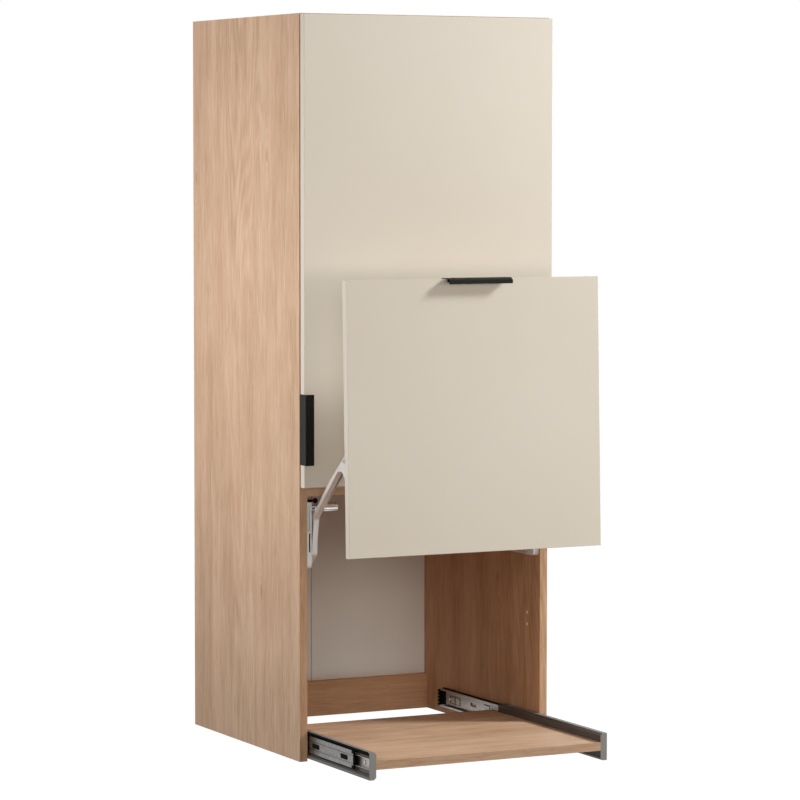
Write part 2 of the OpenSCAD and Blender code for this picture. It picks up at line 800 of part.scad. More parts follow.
module housing_screws() {
    color(zinc) for (s = [0, 1]) mirror([s, 0, 0])
        for (p = housing_screws_at)
            translate([0, front_y + housing_in + p[0], housing_foot + p[1]]) {
                rod_x(housing_x - head_t, head_t, head_r);
                rod_x(housing_x, housing_t + shank, screw_r);
            }
}
// Shaft of the lift arm: seated in the housing, a collar, the bearing and the long barrel
module lift_shaft() {
    barrel_x = lift_x - arm_w - 0.3;
    color("#e9ebec") in_lift(lift_pivot) {
        rod_x(housing_x, pin_seat, pin_r);
        rod_x(lift_x + 0.3, housing_x - lift_x - 0.3, collar_r);
        rod_x(barrel_x, lift_x + 0.3 - barrel_x, pin_r);
        difference() {
            rod_x(barrel_x - barrel_l, barrel_l, barrel_d / 2);
            rod_x(barrel_x - barrel_l - cut, cut + 5, barrel_d / 2 - 3);
        }
    }
}
module lift_shaft_left() {
    left_side() lift_shaft();
}
module lift_shaft_right() {
    lift_shaft();
}
// Pivots of the guide arms: a pin in the housing with a flat head inside the arm
module guide_pivots() {
    head_x = guide_x - arm_w - 0.3 - pin_head_t;
    color(zinc) for (s = [0, 1]) mirror([s, 0, 0])
        in_lift(guide_pivot) {
            rod_x(head_x + pin_head_t, housing_x + pin_seat - head_x - pin_head_t, pin_r);
            rod_x(head_x, pin_head_t, collar_r);
        }
}

// Lift arm: a straight channel, its open side down when the flap is up
module lift_arm() {
    bore = pin_r + pin_play;
    color(lift_grey) in_lift(lift_pivot) rotate([lift_angle, 0, 0]) difference() {
        along_x(lift_x - arm_w, arm_w) lift_outline();
        along_x(lift_x - arm_w + arm_sheet, arm_w - 2 * arm_sheet)
            translate([0, arm_sheet]) lift_outline();
        rod_x(lift_x - arm_w - cut, arm_w + 2 * cut, bore);
        translate([0, lift_arm_l, 0]) rod_x(lift_x - arm_w - cut, arm_w + 2 * cut, bore);
    }
}
module lift_outline() {
    union() {
        circle(eye_r);
        translate([lift_arm_l, 0]) circle(eye_r);
        translate([0, -lift_arm_d / 2]) square([lift_arm_l, lift_arm_d]);
    }
}
module lift_arm_left() {
    left_side() lift_arm();
}
module lift_arm_right() {
    lift_arm();
}
// Guide arm: a cranked channel with a lobe round its pivot and a hooked top end
module guide_outline() {
    l = guide_arm_l;
    drop = guide_crank;
    lobe = 0.99 * lobe_r;
    eye = 0.99 * eye_r;
    polygon(rounded([[-lobe_r, -lobe_r, lobe], [-lobe_r, lobe_r, lobe], [lobe_r, lobe_r, 12],
        [0.18 * l, 5.5, 16], [0.316 * l, 11.5 - drop, 24], [0.532 * l, 6 - drop, 0],
        [0.9 * l, -drop, 8], [0.96 * l, 11.5 - drop, 10], [l - eye_r, eye_r, eye],
        [l + eye_r, eye_r, eye], [l + eye_r, -drop - 5.5, 14], [0.75 * l, -drop - 8, 0],
        [0.514 * l, -drop - 2, 0], [0.308 * l, 0.5 - drop, 30], [0.19 * l, -lobe_r, 14]]));
}
module guide_arm() {
    bore = pin_r + pin_play;
    color(lift_grey) in_lift(guide_pivot) rotate([guide_angle, 0, 0]) difference() {
        along_x(guide_x - arm_w, arm_w) guide_outline();
        along_x(guide_x - arm_w + arm_sheet, arm_w - 2 * arm_sheet)
            translate([-arm_sheet * 0.3, -arm_sheet]) guide_outline();
        rod_x(guide_x - arm_w - cut, arm_w + 2 * cut, bore);
        translate([0, guide_arm_l, 0]) rod_x(guide_x - arm_w - cut, arm_w + 2 * cut, pin_r);
        along_x(guide_x - arm_w - cut, arm_sheet + cut)
            polygon(rounded([[22, 8, 3], [62, -22, 3], [70, -16, 3], [30, 14, 3]]));
    }
}
module guide_arm_left() {
    left_side() guide_arm();
}
module guide_arm_right() {
    guide_arm();
}
// Rivets in the guide arms' upper ends; each stands in the flap bracket's wider hole
module guide_pins() {
    far_x = ear_x - arm_sheet - 0.6;
    color(zinc) for (s = [0, 1]) mirror([s, 0, 0])
        in_lift(guide_pivot) rotate([guide_angle, 0, 0]) translate([0, guide_arm_l, 0]) {
            rod_x(far_x, guide_x - far_x, pin_r);
            rod_x(guide_x, 0.9, collar_r - 1);
            rod_x(guide_x - arm_w - 0.9, 0.9, collar_r - 1);
        }
}

// Ball slides, drawn on the right. s runs from the side panel towards the middle.
module member(y, l) {
    along_y(y, l) translate([inside, slide_z]) mirror([1, 0]) children();
}
module slide_outer() {
    color(zinc) difference() {
        member(slide_y, slide_l)
            polygon(both_halves([[0, outer_h / 2], [outer_lip_s, outer_h / 2],
                [outer_lip_s, track_in + 0.8], [outer_lip_s - slide_sheet, track_in + 0.8],
                [outer_lip_s - slide_sheet, track_out], [slide_sheet, track_out]]));
        for (y = slide_screw_at)
            translate([0, slide_y + y, slide_z])
                rod_x(inside - slide_sheet - cut, slide_sheet + 2 * cut, screw_r);
        for (y = outer_slot_at)
            translate([inside - slide_sheet - cut, slide_y + y, slide_z - 3])
                cube([slide_sheet + 2 * cut, 26, 6]);
    }
}
module slide_outer_left() {
    left_side() slide_outer();
}
module slide_outer_right() {
    slide_outer();
}
module slide_screws() {
    color(zinc) for (s = [0, 1]) mirror([s, 0, 0])
        for (y = slide_screw_at)
            translate([0, slide_y + y, slide_z]) {
                rod_x(inside - slide_sheet - head_t, head_t, head_r);
                rod_x(inside - slide_sheet, slide_sheet + shank, screw_r);
            }
}
module slide_middle() {
    color(zinc) difference() {
        member(middle_y + stop_l, slide_l - member_cut - stop_l)
            polygon(both_halves([[middle_web, middle_h / 2], [middle_inside, middle_h / 2],
                [middle_inside, track_in], [middle_reach, track_in],
                [middle_reach, inner_track], [middle_inside, inner_track]]));
        for (y = middle_slot_at)
            translate([inside - middle_inside - cut, middle_y + y, slide_z - 4])
                cube([slide_sheet + 2 * cut, 14, 8]);
    }
}
module slide_middle_left() {
    left_side() slide_middle();
}
module slide_middle_right() {
    slide_middle();
}
// Moulded stops on the front ends of the middle members, each with a tongue along the web
module slide_stops() {
    color(black_metal) for (m = [0, 1]) mirror([m, 0, 0])
        translate([inside, middle_y, slide_z - stop_half_h]) mirror([1, 0, 0])
            linear_extrude(2 * stop_half_h)
                polygon([[middle_web, 0], [middle_inside + stop_t, 0],
                    [middle_inside + stop_t, stop_l + stop_tongue],
                    [middle_inside, stop_l + stop_tongue], [middle_inside, stop_l],
                    [middle_web, stop_l]]);
}
module slide_inner() {
    color(zinc) difference() {
        member(inner_y, slide_l)
            polygon(both_halves([[slide_s, inner_h / 2], [inner_reach, inner_h / 2],
                [inner_reach, inner_h / 2 - slide_sheet],
                [slide_s - slide_sheet, inner_h / 2 - slide_sheet]]));
        profile_screw_places() rod_x(-2, 6, screw_r);
        translate([profile_web - cut, inner_y + 34, slide_z - 4.5])
            cube([slide_sheet + 2 * cut, 5, 9]);
    }
}
module slide_inner_left() {
    left_side() slide_inner();
}
module slide_inner_right() {
    slide_inner();
}
// A strip with balls in it, lying in the track above the slide's middle line and below it
module ball_cage(y, s, z, ball) {
    balls = floor((cage_l - 10) / ball_pitch);
    for (k = [-1, 1])
        translate([inside - s, y, slide_z + k * z]) {
            translate([-ball * 0.4, 0, -0.4]) cube([ball * 0.8, cage_l, 0.8]);
            for (i = [0:balls])
                translate([0, 5 + i * ball_pitch, 0]) sphere(d = ball, $fn = 20);
        }
}
module outer_ball_cages() {
    color("#8b8e90") for (m = [0, 1]) mirror([m, 0, 0])
        ball_cage(outer_cage_y, middle_inside + 2.6, (track_out + track_in) / 2,
            outer_ball_d);
}
module inner_ball_cages() {
    color("#8b8e90") for (m = [0, 1]) mirror([m, 0, 0])
        ball_cage(inner_cage_y, inner_reach + 1.6, (inner_track + inner_h / 2) / 2,
            inner_ball_d);
}

// The pull-out shelf: a board between two profiles that ride on the slides
module pullout_board() {
    color(oak) difference() {
        translate([-profile_in, shelf_y, shelf_z]) cube([2 * profile_in, shelf_d, board_t]);
        for (m = [0, 1]) mirror([m, 0, 0])
            profile_screw_places() rod_x(-profile_t - bore_deep, bore_deep + cut, screw_r);
    }
}
module profile_screw_places() {
    for (y = profile_screw_at)
        translate([profile_web, shelf_y + y, slide_z - 1]) children();
}
module shelf_profile() {
    c = profile_chamfer;
    inner_c = c - profile_t * (2 - sqrt(2));
    under = profile_top - profile_t;
    color(profile_grey) difference() {
        along_y(shelf_y + cap_t, profile_l - cap_t)
            polygon([[profile_x, profile_z], [profile_x, profile_z + lower_lip],
                [profile_web, profile_z + lower_lip], [profile_web, under - inner_c],
                [profile_web + inner_c, under], [profile_x, under], [profile_x, profile_top],
                [profile_in + c, profile_top], [profile_in, profile_top - c],
                [profile_in, profile_z + c], [profile_in + c, profile_z]]);
        profile_screw_places() rod_x(-profile_t - cut, profile_t + 2 * cut, screw_r);
    }
}
module shelf_profile_left() {
    left_side() shelf_profile();
}
module shelf_profile_right() {
    shelf_profile();
}
module profile_cap() {
    c = profile_chamfer;
    color(profile_grey) along_y(shelf_y, cap_t)
        polygon([[profile_x, profile_z], [profile_x, profile_top], [profile_in + c, profile_top],
            [profile_in, profile_top - c], [profile_in, profile_z + c], [profile_in + c, profile_z]]);
}
module profile_cap_left() {
    left_side() profile_cap();
}
module profile_cap_right() {
    profile_cap();
}
// Screws through the shelf member and the profile into the board's edge
module profile_screws() {
    color(zinc) for (m = [0, 1]) mirror([m, 0, 0])
        profile_screw_places() {
            rod_x(slide_sheet, head_t, head_r * 0.8);
            rod_x(-profile_t - shank, profile_t + shank + slide_sheet, screw_r);
        }
}

side_left();
side_right();
top_panel();
fixed_shelf();
lower_shelf();
upper_shelf();
shelf_supports();
back_panel_left();
back_panel_right();
back_joint_strip();
back_rail();
corner_cams();
wall_hanger_left();
wall_hanger_right();
hinge_plates();
hinge_arms();
plate_screws();
lift_housing_left();
lift_housing_right();
lift_shaft_left();
lift_shaft_right();
guide_pivots();
housing_screws();
slide_outer_left();
slide_outer_right();
slide_screws();
door_panel();
door_handle();
door_handle_screws();
hinge_cups();
cup_screws();
door_bumpers();
flap_panel();
flap_handle();
flap_handle_screws();
flap_bracket_left();
flap_bracket_right();
bracket_screws();
flap_bumpers();
lift_arm_left();
lift_arm_right();
guide_arm_left();
guide_arm_right();
guide_pins();
slide_middle_left();
slide_middle_right();
slide_stops();
outer_ball_cages();
inner_ball_cages();
pullout_board();
shelf_profile_left();
shelf_profile_right();
profile_cap_left();
profile_cap_right();
slide_inner_left();
slide_inner_right();
profile_screws();
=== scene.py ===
"""Looks of the kitchen wall cabinet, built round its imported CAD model.

The sections follow the cabinet as it is put together: boards, back, fittings, door, flap, lift,
slides and pull-out shelf, then the studio. X runs across the front, Y to the wall, Z up; metres.
"""

import math

import bmesh
import bpy
from mathutils import Matrix, Vector


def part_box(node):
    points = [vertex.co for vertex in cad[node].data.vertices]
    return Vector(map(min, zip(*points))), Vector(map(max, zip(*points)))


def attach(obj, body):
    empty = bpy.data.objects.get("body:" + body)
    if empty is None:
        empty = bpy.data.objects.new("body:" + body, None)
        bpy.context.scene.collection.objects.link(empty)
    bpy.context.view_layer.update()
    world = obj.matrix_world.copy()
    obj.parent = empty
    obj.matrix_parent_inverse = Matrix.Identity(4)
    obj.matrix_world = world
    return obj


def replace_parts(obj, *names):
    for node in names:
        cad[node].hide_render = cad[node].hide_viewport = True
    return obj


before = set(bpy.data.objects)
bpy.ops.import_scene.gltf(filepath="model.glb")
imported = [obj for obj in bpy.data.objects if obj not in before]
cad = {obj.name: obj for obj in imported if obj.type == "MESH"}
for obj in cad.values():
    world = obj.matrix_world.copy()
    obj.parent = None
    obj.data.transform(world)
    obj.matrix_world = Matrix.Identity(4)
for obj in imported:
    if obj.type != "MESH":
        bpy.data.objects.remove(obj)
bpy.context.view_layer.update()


# Side panels. Two 18 mm chipboards faced with light oak decor, grain upright, with a thin edge
# band glued on the front. The raw chipboard shows on the back edges and on both ends.
def linear(red, green, blue):
    """Levels of 0 to 255 on the sRGB curve, as the linear colour that a shader takes"""
    levels = [c / 255 for c in (red, green, blue)]
    return tuple(((c + 0.055) / 1.055) ** 2.4 if c > 0.04 else c / 12.92 for c in levels) + (1,)


def feed(tree, socket, value):
    """Wires another node's socket into this one, or sets a plain value on it"""
    if isinstance(value, bpy.types.NodeSocket):
        tree.links.new(value, socket)
    else:
        socket.default_value = value


def add(tree, kind, inputs=None, **settings):
    """Adds a shader node; inputs maps a socket to a value or to another node's socket"""
    made = tree.nodes.new(kind)
    for name, value in settings.items():
        setattr(made, name, value)
    for socket, value in (inputs or {}).items():
        feed(tree, made.inputs[socket], value)
    return made


def calc(tree, operation, *values):
    return add(tree, "ShaderNodeMath", dict(enumerate(values)), operation=operation).outputs[0]


def weigh(tree, *layers):
    """Adds up the layers of a pattern, each times its share"""
    total = None
    for layer, share in layers:
        part = calc(tree, "MULTIPLY", layer, share)
        total = part if total is None else calc(tree, "ADD", total, part)
    return total


def stretch(tree, vector, scale):
    made = add(tree, "ShaderNodeVectorMath", {0: vector, 1: scale}, operation="MULTIPLY")
    return made.outputs[0]


def noise(tree, vector, scale, detail=2.0, roughness=0.5):
    made = add(tree, "ShaderNodeTexNoise",
               {"Vector": vector, "Scale": scale, "Detail": detail, "Roughness": roughness})
    return made.outputs["Fac"]


def span(tree, value, low, high, to_low=0.0, to_high=1.0):
    """Maps the span low to high onto another one, held at its ends"""
    made = add(tree, "ShaderNodeMapRange", {"Value": value, "From Min": low, "From Max": high,
                                            "To Min": to_low, "To Max": to_high})
    return made.outputs["Result"]


def blend_colour(tree, share, first, second, how="MIX"):
    """Blends two colours by a share; MULTIPLY deepens the first with the second"""
    made = add(tree, "ShaderNodeMix", data_type="RGBA", blend_type=how)
    sockets = {s.identifier: s for s in made.inputs}
    for key, value in (("Factor_Float", share), ("A_Color", first), ("B_Color", second)):
        feed(tree, sockets[key], value)
    return next(s for s in made.outputs if s.identifier == "Result_Color")


def blend_value(tree, share, first, second):
    return add(tree, "ShaderNodeMix", {0: share, 2: first, 3: second}).outputs[0]


def effect(name, inputs, outputs):
    """Starts an effect that several finishes share: a node group with named sockets"""
    group = bpy.data.node_groups.new(name, "ShaderNodeTree")
    for way, sockets in (("INPUT", inputs), ("OUTPUT", outputs)):
        for title, kind in sockets.items():
            group.interface.new_socket(name=title, in_out=way, socket_type=kind)
    took = group.nodes.new("NodeGroupInput").outputs
    gives = group.nodes.new("NodeGroupOutput").inputs
    return group, took, gives


def use(tree, group, inputs):
    """Places a shared effect in a material, with that material's own values"""
    return add(tree, "ShaderNodeGroup", inputs, node_tree=group).outputs


FLOAT, VECTOR, COLOUR = "NodeSocketFloat", "NodeSocketVector", "NodeSocketColor"

oak_decor, took, gives = effect(
    "oak_decor", {"Place": VECTOR, "Light": COLOUR, "Dark": COLOUR, "Rosy": COLOUR},
    {"Color": COLOUR, "Roughness": FLOAT, "Height": FLOAT})


def figure(place, across, along, detail=1, roughness=0.5):
    """Noise drawn out along the grain; across and along count its repeats in a metre"""
    drawn_out = stretch(oak_decor, place, (across, across, along))
    return noise(oak_decor, drawn_out, 1, detail, roughness)


# The grain wanders a little sideways. Bands, clouds, streaks and fibres make up its tone. Each
# pair below gives the level at which a pattern starts to show, and the one where it shows fully.
SIDEWAYS = 0.03
RAYS_SHOW, HEART_SHOWS, BLUSH_SHOWS = (0.6, 0.72), (0.47, 0.6), (0.42, 0.7)
PORES_SHOW, FLECKS_SHOW, KNOT_HEART_SHOWS = (0.6, 0.74), (0.68, 0.76), (0.8, 1)
wander = calc(oak_decor, "SUBTRACT", figure(took["Place"], across=9, along=2.2, detail=2), 0.5)
shift = add(oak_decor, "ShaderNodeCombineXYZ", {0: calc(oak_decor, "MULTIPLY", wander, SIDEWAYS)})
place = add(oak_decor, "ShaderNodeVectorMath", {0: took["Place"], 1: shift.outputs[0]},
            operation="ADD").outputs[0]
bands = figure(place, across=26, along=1.6, detail=2)
clouds = figure(place, across=10, along=7)
streaks = figure(place, across=165, along=12, detail=3, roughness=0.6)
fibres = figure(place, across=430, along=20, detail=2, roughness=0.6)
rays = span(oak_decor, figure(place, across=110, along=6), *RAYS_SHOW)

# Knots stand in some cells of a coarse pattern. The arches bend round them and fill the heartwood.
KNOTS_ACROSS, KNOTS_ALONG = 5.5, 2.0
KNOT_FROM, KNOT_REACH = 0.62, 0.2
ARCH_BEND, ARCH_COUNT = 0.2, 150
parts = add(oak_decor, "ShaderNodeSeparateXYZ", {0: place}).outputs
face_place = add(oak_decor, "ShaderNodeCombineXYZ",
                 {0: calc(oak_decor, "MULTIPLY", parts["X"], KNOTS_ACROSS),
                  1: calc(oak_decor, "MULTIPLY", parts["Z"], KNOTS_ALONG)}).outputs[0]
knots = add(oak_decor, "ShaderNodeTexVoronoi", {"Vector": face_place, "Scale": 1.0},
            voronoi_dimensions="2D").outputs
lot = add(oak_decor, "ShaderNodeSeparateColor", {0: knots["Color"]}).outputs[0]
whorl = calc(oak_decor, "MULTIPLY", span(oak_decor, knots["Distance"], 0, KNOT_REACH, 1, 0),
             calc(oak_decor, "GREATER_THAN", lot, KNOT_FROM))
heart = span(oak_decor, figure(place, across=5, along=0.5), *HEART_SHOWS)
flow = calc(oak_decor, "ADD", calc(oak_decor, "MULTIPLY", whorl, ARCH_BEND),
            figure(place, across=7, along=0.9))
arches = calc(oak_decor, "MULTIPLY",
              calc(oak_decor, "SINE", calc(oak_decor, "MULTIPLY", flow, ARCH_COUNT)),
              calc(oak_decor, "MAXIMUM", whorl, heart))

TONE_DARK, TONE_LIGHT, BLUSH_MOST = 0.80, 1.72, 0.6
tone = calc(oak_decor, "ADD",
            weigh(oak_decor, (clouds, 0.35), (bands, 0.75), (streaks, 0.7)),
            weigh(oak_decor, (fibres, 0.7), (arches, 0.1)))
tone = calc(oak_decor, "ADD", tone, weigh(oak_decor, (rays, 0.12)))
tone = span(oak_decor, tone, TONE_DARK, TONE_LIGHT)
grain = blend_colour(oak_decor, tone, took["Dark"], took["Light"])
blush = span(oak_decor, figure(place, across=24, along=1.4), *BLUSH_SHOWS, 0, BLUSH_MOST)
grain = blend_colour(oak_decor, blush, grain, blend_colour(oak_decor, 0.5, grain, took["Rosy"]))

# Fine dark pores, longer flecks and the knots' hearts are printed over the tone.
MARK_BROWN = (0.2, 0.12, 0.065, 1)
GRAIN_MATT, GRAIN_SATIN = 0.56, 0.46
pores = span(oak_decor, figure(place, across=1100, along=34, detail=2), *PORES_SHOW)
flecks = span(oak_decor, figure(place, across=160, along=26, detail=2, roughness=0.4),
              *FLECKS_SHOW)
knot_hearts = span(oak_decor, whorl, *KNOT_HEART_SHOWS)
dark_marks = calc(oak_decor, "MAXIMUM", weigh(oak_decor, (pores, 0.16)),
                  weigh(oak_decor, (flecks, 0.3)))
dark_marks = calc(oak_decor, "MAXIMUM", dark_marks, weigh(oak_decor, (knot_hearts, 0.5)))
feed(oak_decor, gives["Color"], blend_colour(oak_decor, dark_marks, grain, MARK_BROWN))
feed(oak_decor, gives["Roughness"], span(oak_decor, tone, 0, 1, GRAIN_MATT, GRAIN_SATIN))
feed(oak_decor, gives["Height"],
     calc(oak_decor, "SUBTRACT", weigh(oak_decor, (streaks, 0.5)), pores))

# Raw chipboard: pale chips with darker gaps between them.
CHIPS_PER_M, CRUMBS_PER_M = 420, 900
CHIP_GAP, CHIP_PALE = (0.30, 0.19, 0.10, 1), (0.66, 0.50, 0.32, 1)
chipboard, took, gives = effect("chipboard", {"Place": VECTOR},
                                {"Color": COLOUR, "Height": FLOAT})
chips = add(chipboard, "ShaderNodeTexVoronoi", {"Vector": took["Place"], "Scale": CHIPS_PER_M})
crumbs = noise(chipboard, took["Place"], CRUMBS_PER_M, 3)
shade = span(chipboard, calc(chipboard, "ADD", chips.outputs["Distance"], crumbs), 0.5, 1.3)
feed(chipboard, gives["Color"], blend_colour(chipboard, shade, CHIP_GAP, CHIP_PALE))
feed(chipboard, gives["Height"], shade)

FRONT_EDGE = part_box("side_left")[0].y
BAND_T = 0.001
GLUE_LINE, GLUE_SHADE = linear(120, 84, 56), 0.45
GLUE_HALF, GLUE_FADE = 0.00008, 0.0002
PORE_DEPTH = 0.00012
RAW_ROUGHNESS = 0.85
WHITE = (1, 1, 1, 1)
OAK_LIGHT = linear(241, 208, 178)
OAK_DARK = linear(185, 144, 110)
OAK_ROSY = linear(230, 184, 155)
# Painted shade: a deeper oak for the side panels' faces towards the bay and for the bottom rail.
OAK_BAY_SHADE = (0.74, 0.61, 0.50, 1)
# Painted shade: a deeper oak on the side panels' front edges.
OAK_FRONT_SHADE = (0.86, 0.79, 0.71, 1)


def finish_of(name, **uniform):
    """A new material with the shader's own sockets set; underscores stand for spaces"""
    made = bpy.data.materials.new(name)
    made.use_nodes = True
    shader = made.node_tree.nodes["Principled BSDF"]
    for title, value in uniform.items():
        shader.inputs[title.replace("_", " ")].default_value = value
    return made, made.node_tree, shader


def relief(tree, shader, height, depth):
    bump = add(tree, "ShaderNodeBump", {"Height": height, "Distance": depth})
    tree.links.new(bump.outputs[0], shader.inputs["Normal"])


def towards_middle(tree, where):
    """1 on faces turned towards the cabinet's middle, where x times the normal's x is about
    -0.28, and 0 on fronts, tops and outsides"""
    inner_face = -0.1
    place = add(tree, "ShaderNodeSeparateXYZ", {0: where["Object"]}).outputs[0]
    facing = add(tree, "ShaderNodeSeparateXYZ", {0: where["Normal"]}).outputs[0]
    return calc(tree, "LESS_THAN", calc(tree, "MULTIPLY", place, facing), inner_face)


def oak_board(name, laid, raw, front_band=None, tint=WHITE, edge=None):
    """Oak decor on a board. laid names the board's axes that go across, through and along the
    grain; raw names the faces, such as +Y, left undressed; front_band is the banded edge's y.
    tint deepens every face, or, where the front edge has a tint, those towards the middle, which
    is then painted shade; edge deepens the faces turned to the front, also as painted shade."""
    made, tree, shader = finish_of(name, Specular_IOR_Level=0.14)
    where = tree.nodes.new("ShaderNodeTexCoord").outputs
    axes = add(tree, "ShaderNodeSeparateXYZ", {0: where["Object"]}).outputs
    facing = add(tree, "ShaderNodeSeparateXYZ", {0: where["Normal"]}).outputs
    turned = add(tree, "ShaderNodeCombineXYZ", {k: axes[axis] for k, axis in enumerate(laid)})
    oak = use(tree, oak_decor, {"Place": turned.outputs[0], "Light": OAK_LIGHT,
                                "Dark": OAK_DARK, "Rosy": OAK_ROSY})
    # Where edge is given, both tints are painted shade: tint on the faces towards the middle, edge
    # on the front faces.
    colour = blend_colour(tree, towards_middle(tree, where) if edge else 1.0, oak["Color"], tint,
                          "MULTIPLY")
    if edge:
        ahead = calc(tree, "LESS_THAN", facing["Y"], -0.5)
        colour = blend_colour(tree, ahead, colour, edge, "MULTIPLY")
    bare = None
    for sign, axis in raw:
        turn = calc(tree, "MULTIPLY", facing[axis], 1 if sign == "+" else -1)
        bared = span(tree, turn, 0.8, 0.9)
        bare = bared if bare is None else calc(tree, "MAXIMUM", bare, bared)
    core = use(tree, chipboard, {"Place": where["Object"]})
    colour = blend_colour(tree, bare, colour, core["Color"])
    if front_band is not None:
        behind_band = calc(tree, "SUBTRACT", axes["Y"], front_band + BAND_T)
        joint = span(tree, calc(tree, "ABSOLUTE", behind_band), GLUE_HALF, GLUE_FADE,
                     GLUE_SHADE, 0)
        colour = blend_colour(tree, joint, colour, GLUE_LINE)
    feed(tree, shader.inputs["Base Color"], colour)
    feed(tree, shader.inputs["Roughness"],
         blend_value(tree, bare, oak["Roughness"], RAW_ROUGHNESS))
    relief(tree, shader, blend_value(tree, bare, oak["Height"], core["Height"]), PORE_DEPTH)
    return made


def dress(material, *names):
    for name in names:
        cad[name].material_slots[0].material = material


def soften(*names, by):
    """Takes the sharpness off CAD nodes' edges, as machining and sheet bending do"""
    same_point, sharpest_kept = 1e-6, math.radians(38)
    for name in names:
        weld = cad[name].modifiers.new("joined", "WELD")
        weld.merge_threshold = same_point
        bevel = cad[name].modifiers.new("softened", "BEVEL")
        bevel.width = by
        bevel.segments = 2
        bevel.limit_method = "ANGLE"
        bevel.angle_limit = sharpest_kept
        bevel.harden_normals = True


# The side panels carry painted shade on their faces towards the bay and on their front edges.
oak_upright_and_shade = oak_board("oak_upright_and_shade", "YXZ", ("+Y", "+Z", "-Z"), FRONT_EDGE, OAK_BAY_SHADE, OAK_FRONT_SHADE)
dress(oak_upright_and_shade, "side_left", "side_right")
soften("side_left", "side_right", by=0.0005)


# Top panel, fixed shelf and two adjustable shelves. Same board, its grain from side to side;
# the top and the fixed shelf are drawn tight by cam fittings bored into their undersides.
OAK_HEAD = (0.88, 0.84, 0.80, 1)
oak_across = oak_board("oak_across", "YZX", ("+Y", "+X", "-X"), FRONT_EDGE, OAK_HEAD)
dress(oak_across, "top_panel", "fixed_shelf")
LOOSE_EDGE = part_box("lower_shelf")[0].y
oak_loose_shelf = oak_board("oak_loose_shelf", "YZX", ("+X", "-X"), LOOSE_EDGE)
dress(oak_loose_shelf, "lower_shelf", "upper_shelf")
soften("top_panel", "fixed_shelf", "lower_shelf", "upper_shelf", by=0.0005)


# Back panel and bottom rail. Two halves of thin pale grey board, painted on the room side, slid
# into rebates and joined by a white moulded strip. Below them stands a board with oak decor.
def soft_mottle(name, colour, other, size, roughness, **uniform):
    """A near-plain finish whose colour drifts a little, with a fine grain in the surface"""
    grains_per_m, grain_depth, polish = 1800, 0.00003, 0.04
    made, tree, shader = finish_of(name, Roughness=roughness, **uniform)
    where = tree.nodes.new("ShaderNodeTexCoord").outputs["Object"]
    drift = noise(tree, where, 1 / size, 3)
    fine = noise(tree, where, grains_per_m, 2)
    share = span(tree, weigh(tree, (drift, 0.7), (fine, 0.3)), 0.3, 0.7)
    feed(tree, shader.inputs["Base Color"], blend_colour(tree, share, colour, other))
    feed(tree, shader.inputs["Roughness"],
         span(tree, fine, 0.3, 0.7, roughness - polish, roughness + polish))
    relief(tree, shader, fine, grain_depth)
    return made


def shade_lines(material, axis, places, width, depth):
    """Darkens a finish along thin lines across one axis, where a fold or a joint lies in shade"""
    fold_black = (0.012, 0.010, 0.009, 1)
    tree = material.node_tree
    base = tree.nodes["Principled BSDF"].inputs["Base Color"]
    colour = base.links[0].from_socket
    where = tree.nodes.new("ShaderNodeTexCoord").outputs["Object"]
    level = add(tree, "ShaderNodeSeparateXYZ", {0: where}).outputs[axis]
    for place in places:
        away = calc(tree, "ABSOLUTE", calc(tree, "SUBTRACT", level, place))
        line = span(tree, away, width * 0.35, width * 0.6, depth, 0)
        colour = blend_colour(tree, line, colour, fold_black)
    feed(tree, base, colour)


back_paint = soft_mottle("back_paint", linear(226, 220, 212), linear(234, 229, 222), size=0.2,
                         roughness=0.6)
dress(back_paint, "back_panel_left", "back_panel_right")
strip_moulding_and_shade = soft_mottle("strip_moulding_and_shade", linear(222, 214, 204), linear(230, 223, 214),
                             size=0.1, roughness=0.5)
# Painted shade: a dark line along the strip's lip.
STRIP_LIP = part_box("back_joint_strip")[1].x - 0.0022
shade_lines(strip_moulding_and_shade, "X", (STRIP_LIP,), width=0.0024, depth=0.5)
dress(strip_moulding_and_shade, "back_joint_strip")
# The rail's oak is deepened all over, as painted shade inside the bay.
oak_rail_and_shade = oak_board("oak_rail_and_shade", "ZYX", ("+X", "-X"), tint=OAK_BAY_SHADE)
dress(oak_rail_and_shade, "back_rail")
soften("back_rail", "back_joint_strip", by=0.0004)


# Cam fittings and shelf supports: die-cast zinc and turned pegs, plated bright, slightly
# mottled from the casting.
def zinc_plate(name, bright, dull, along, size=0.004, roughness=0.34):
    """Bright zinc: a faint crystal pattern and lines drawn along one axis by the rolling"""
    lines_across, lines_along, line_depth = 900.0, 14.0, 0.00002
    made, tree, shader = finish_of(name, Metallic=1.0, Roughness=roughness)
    where = tree.nodes.new("ShaderNodeTexCoord").outputs["Object"]
    crystals = add(tree, "ShaderNodeTexVoronoi", {"Vector": where, "Scale": 1 / size})
    flakes = add(tree, "ShaderNodeSeparateColor", {0: crystals.outputs["Color"]}).outputs[0]
    squeeze = [lines_along if axis == along else lines_across for axis in "XYZ"]
    drawn = noise(tree, stretch(tree, where, squeeze), 1, 3)
    share = weigh(tree, (flakes, 0.35), (drawn, 0.65))
    feed(tree, shader.inputs["Base Color"],
         blend_colour(tree, span(tree, share, 0.25, 0.75), dull, bright))
    feed(tree, shader.inputs["Roughness"],
         span(tree, share, 0.2, 0.8, roughness + 0.08, roughness - 0.06))
    relief(tree, shader, drawn, line_depth)
    return made


cast_zinc = zinc_plate("cast_zinc", linear(214, 215, 214), linear(178, 180, 181), along="Z",
                       size=0.002)
dress(cast_zinc, "corner_cams", "shelf_supports")
soften("corner_cams", "shelf_supports", by=0.0002)


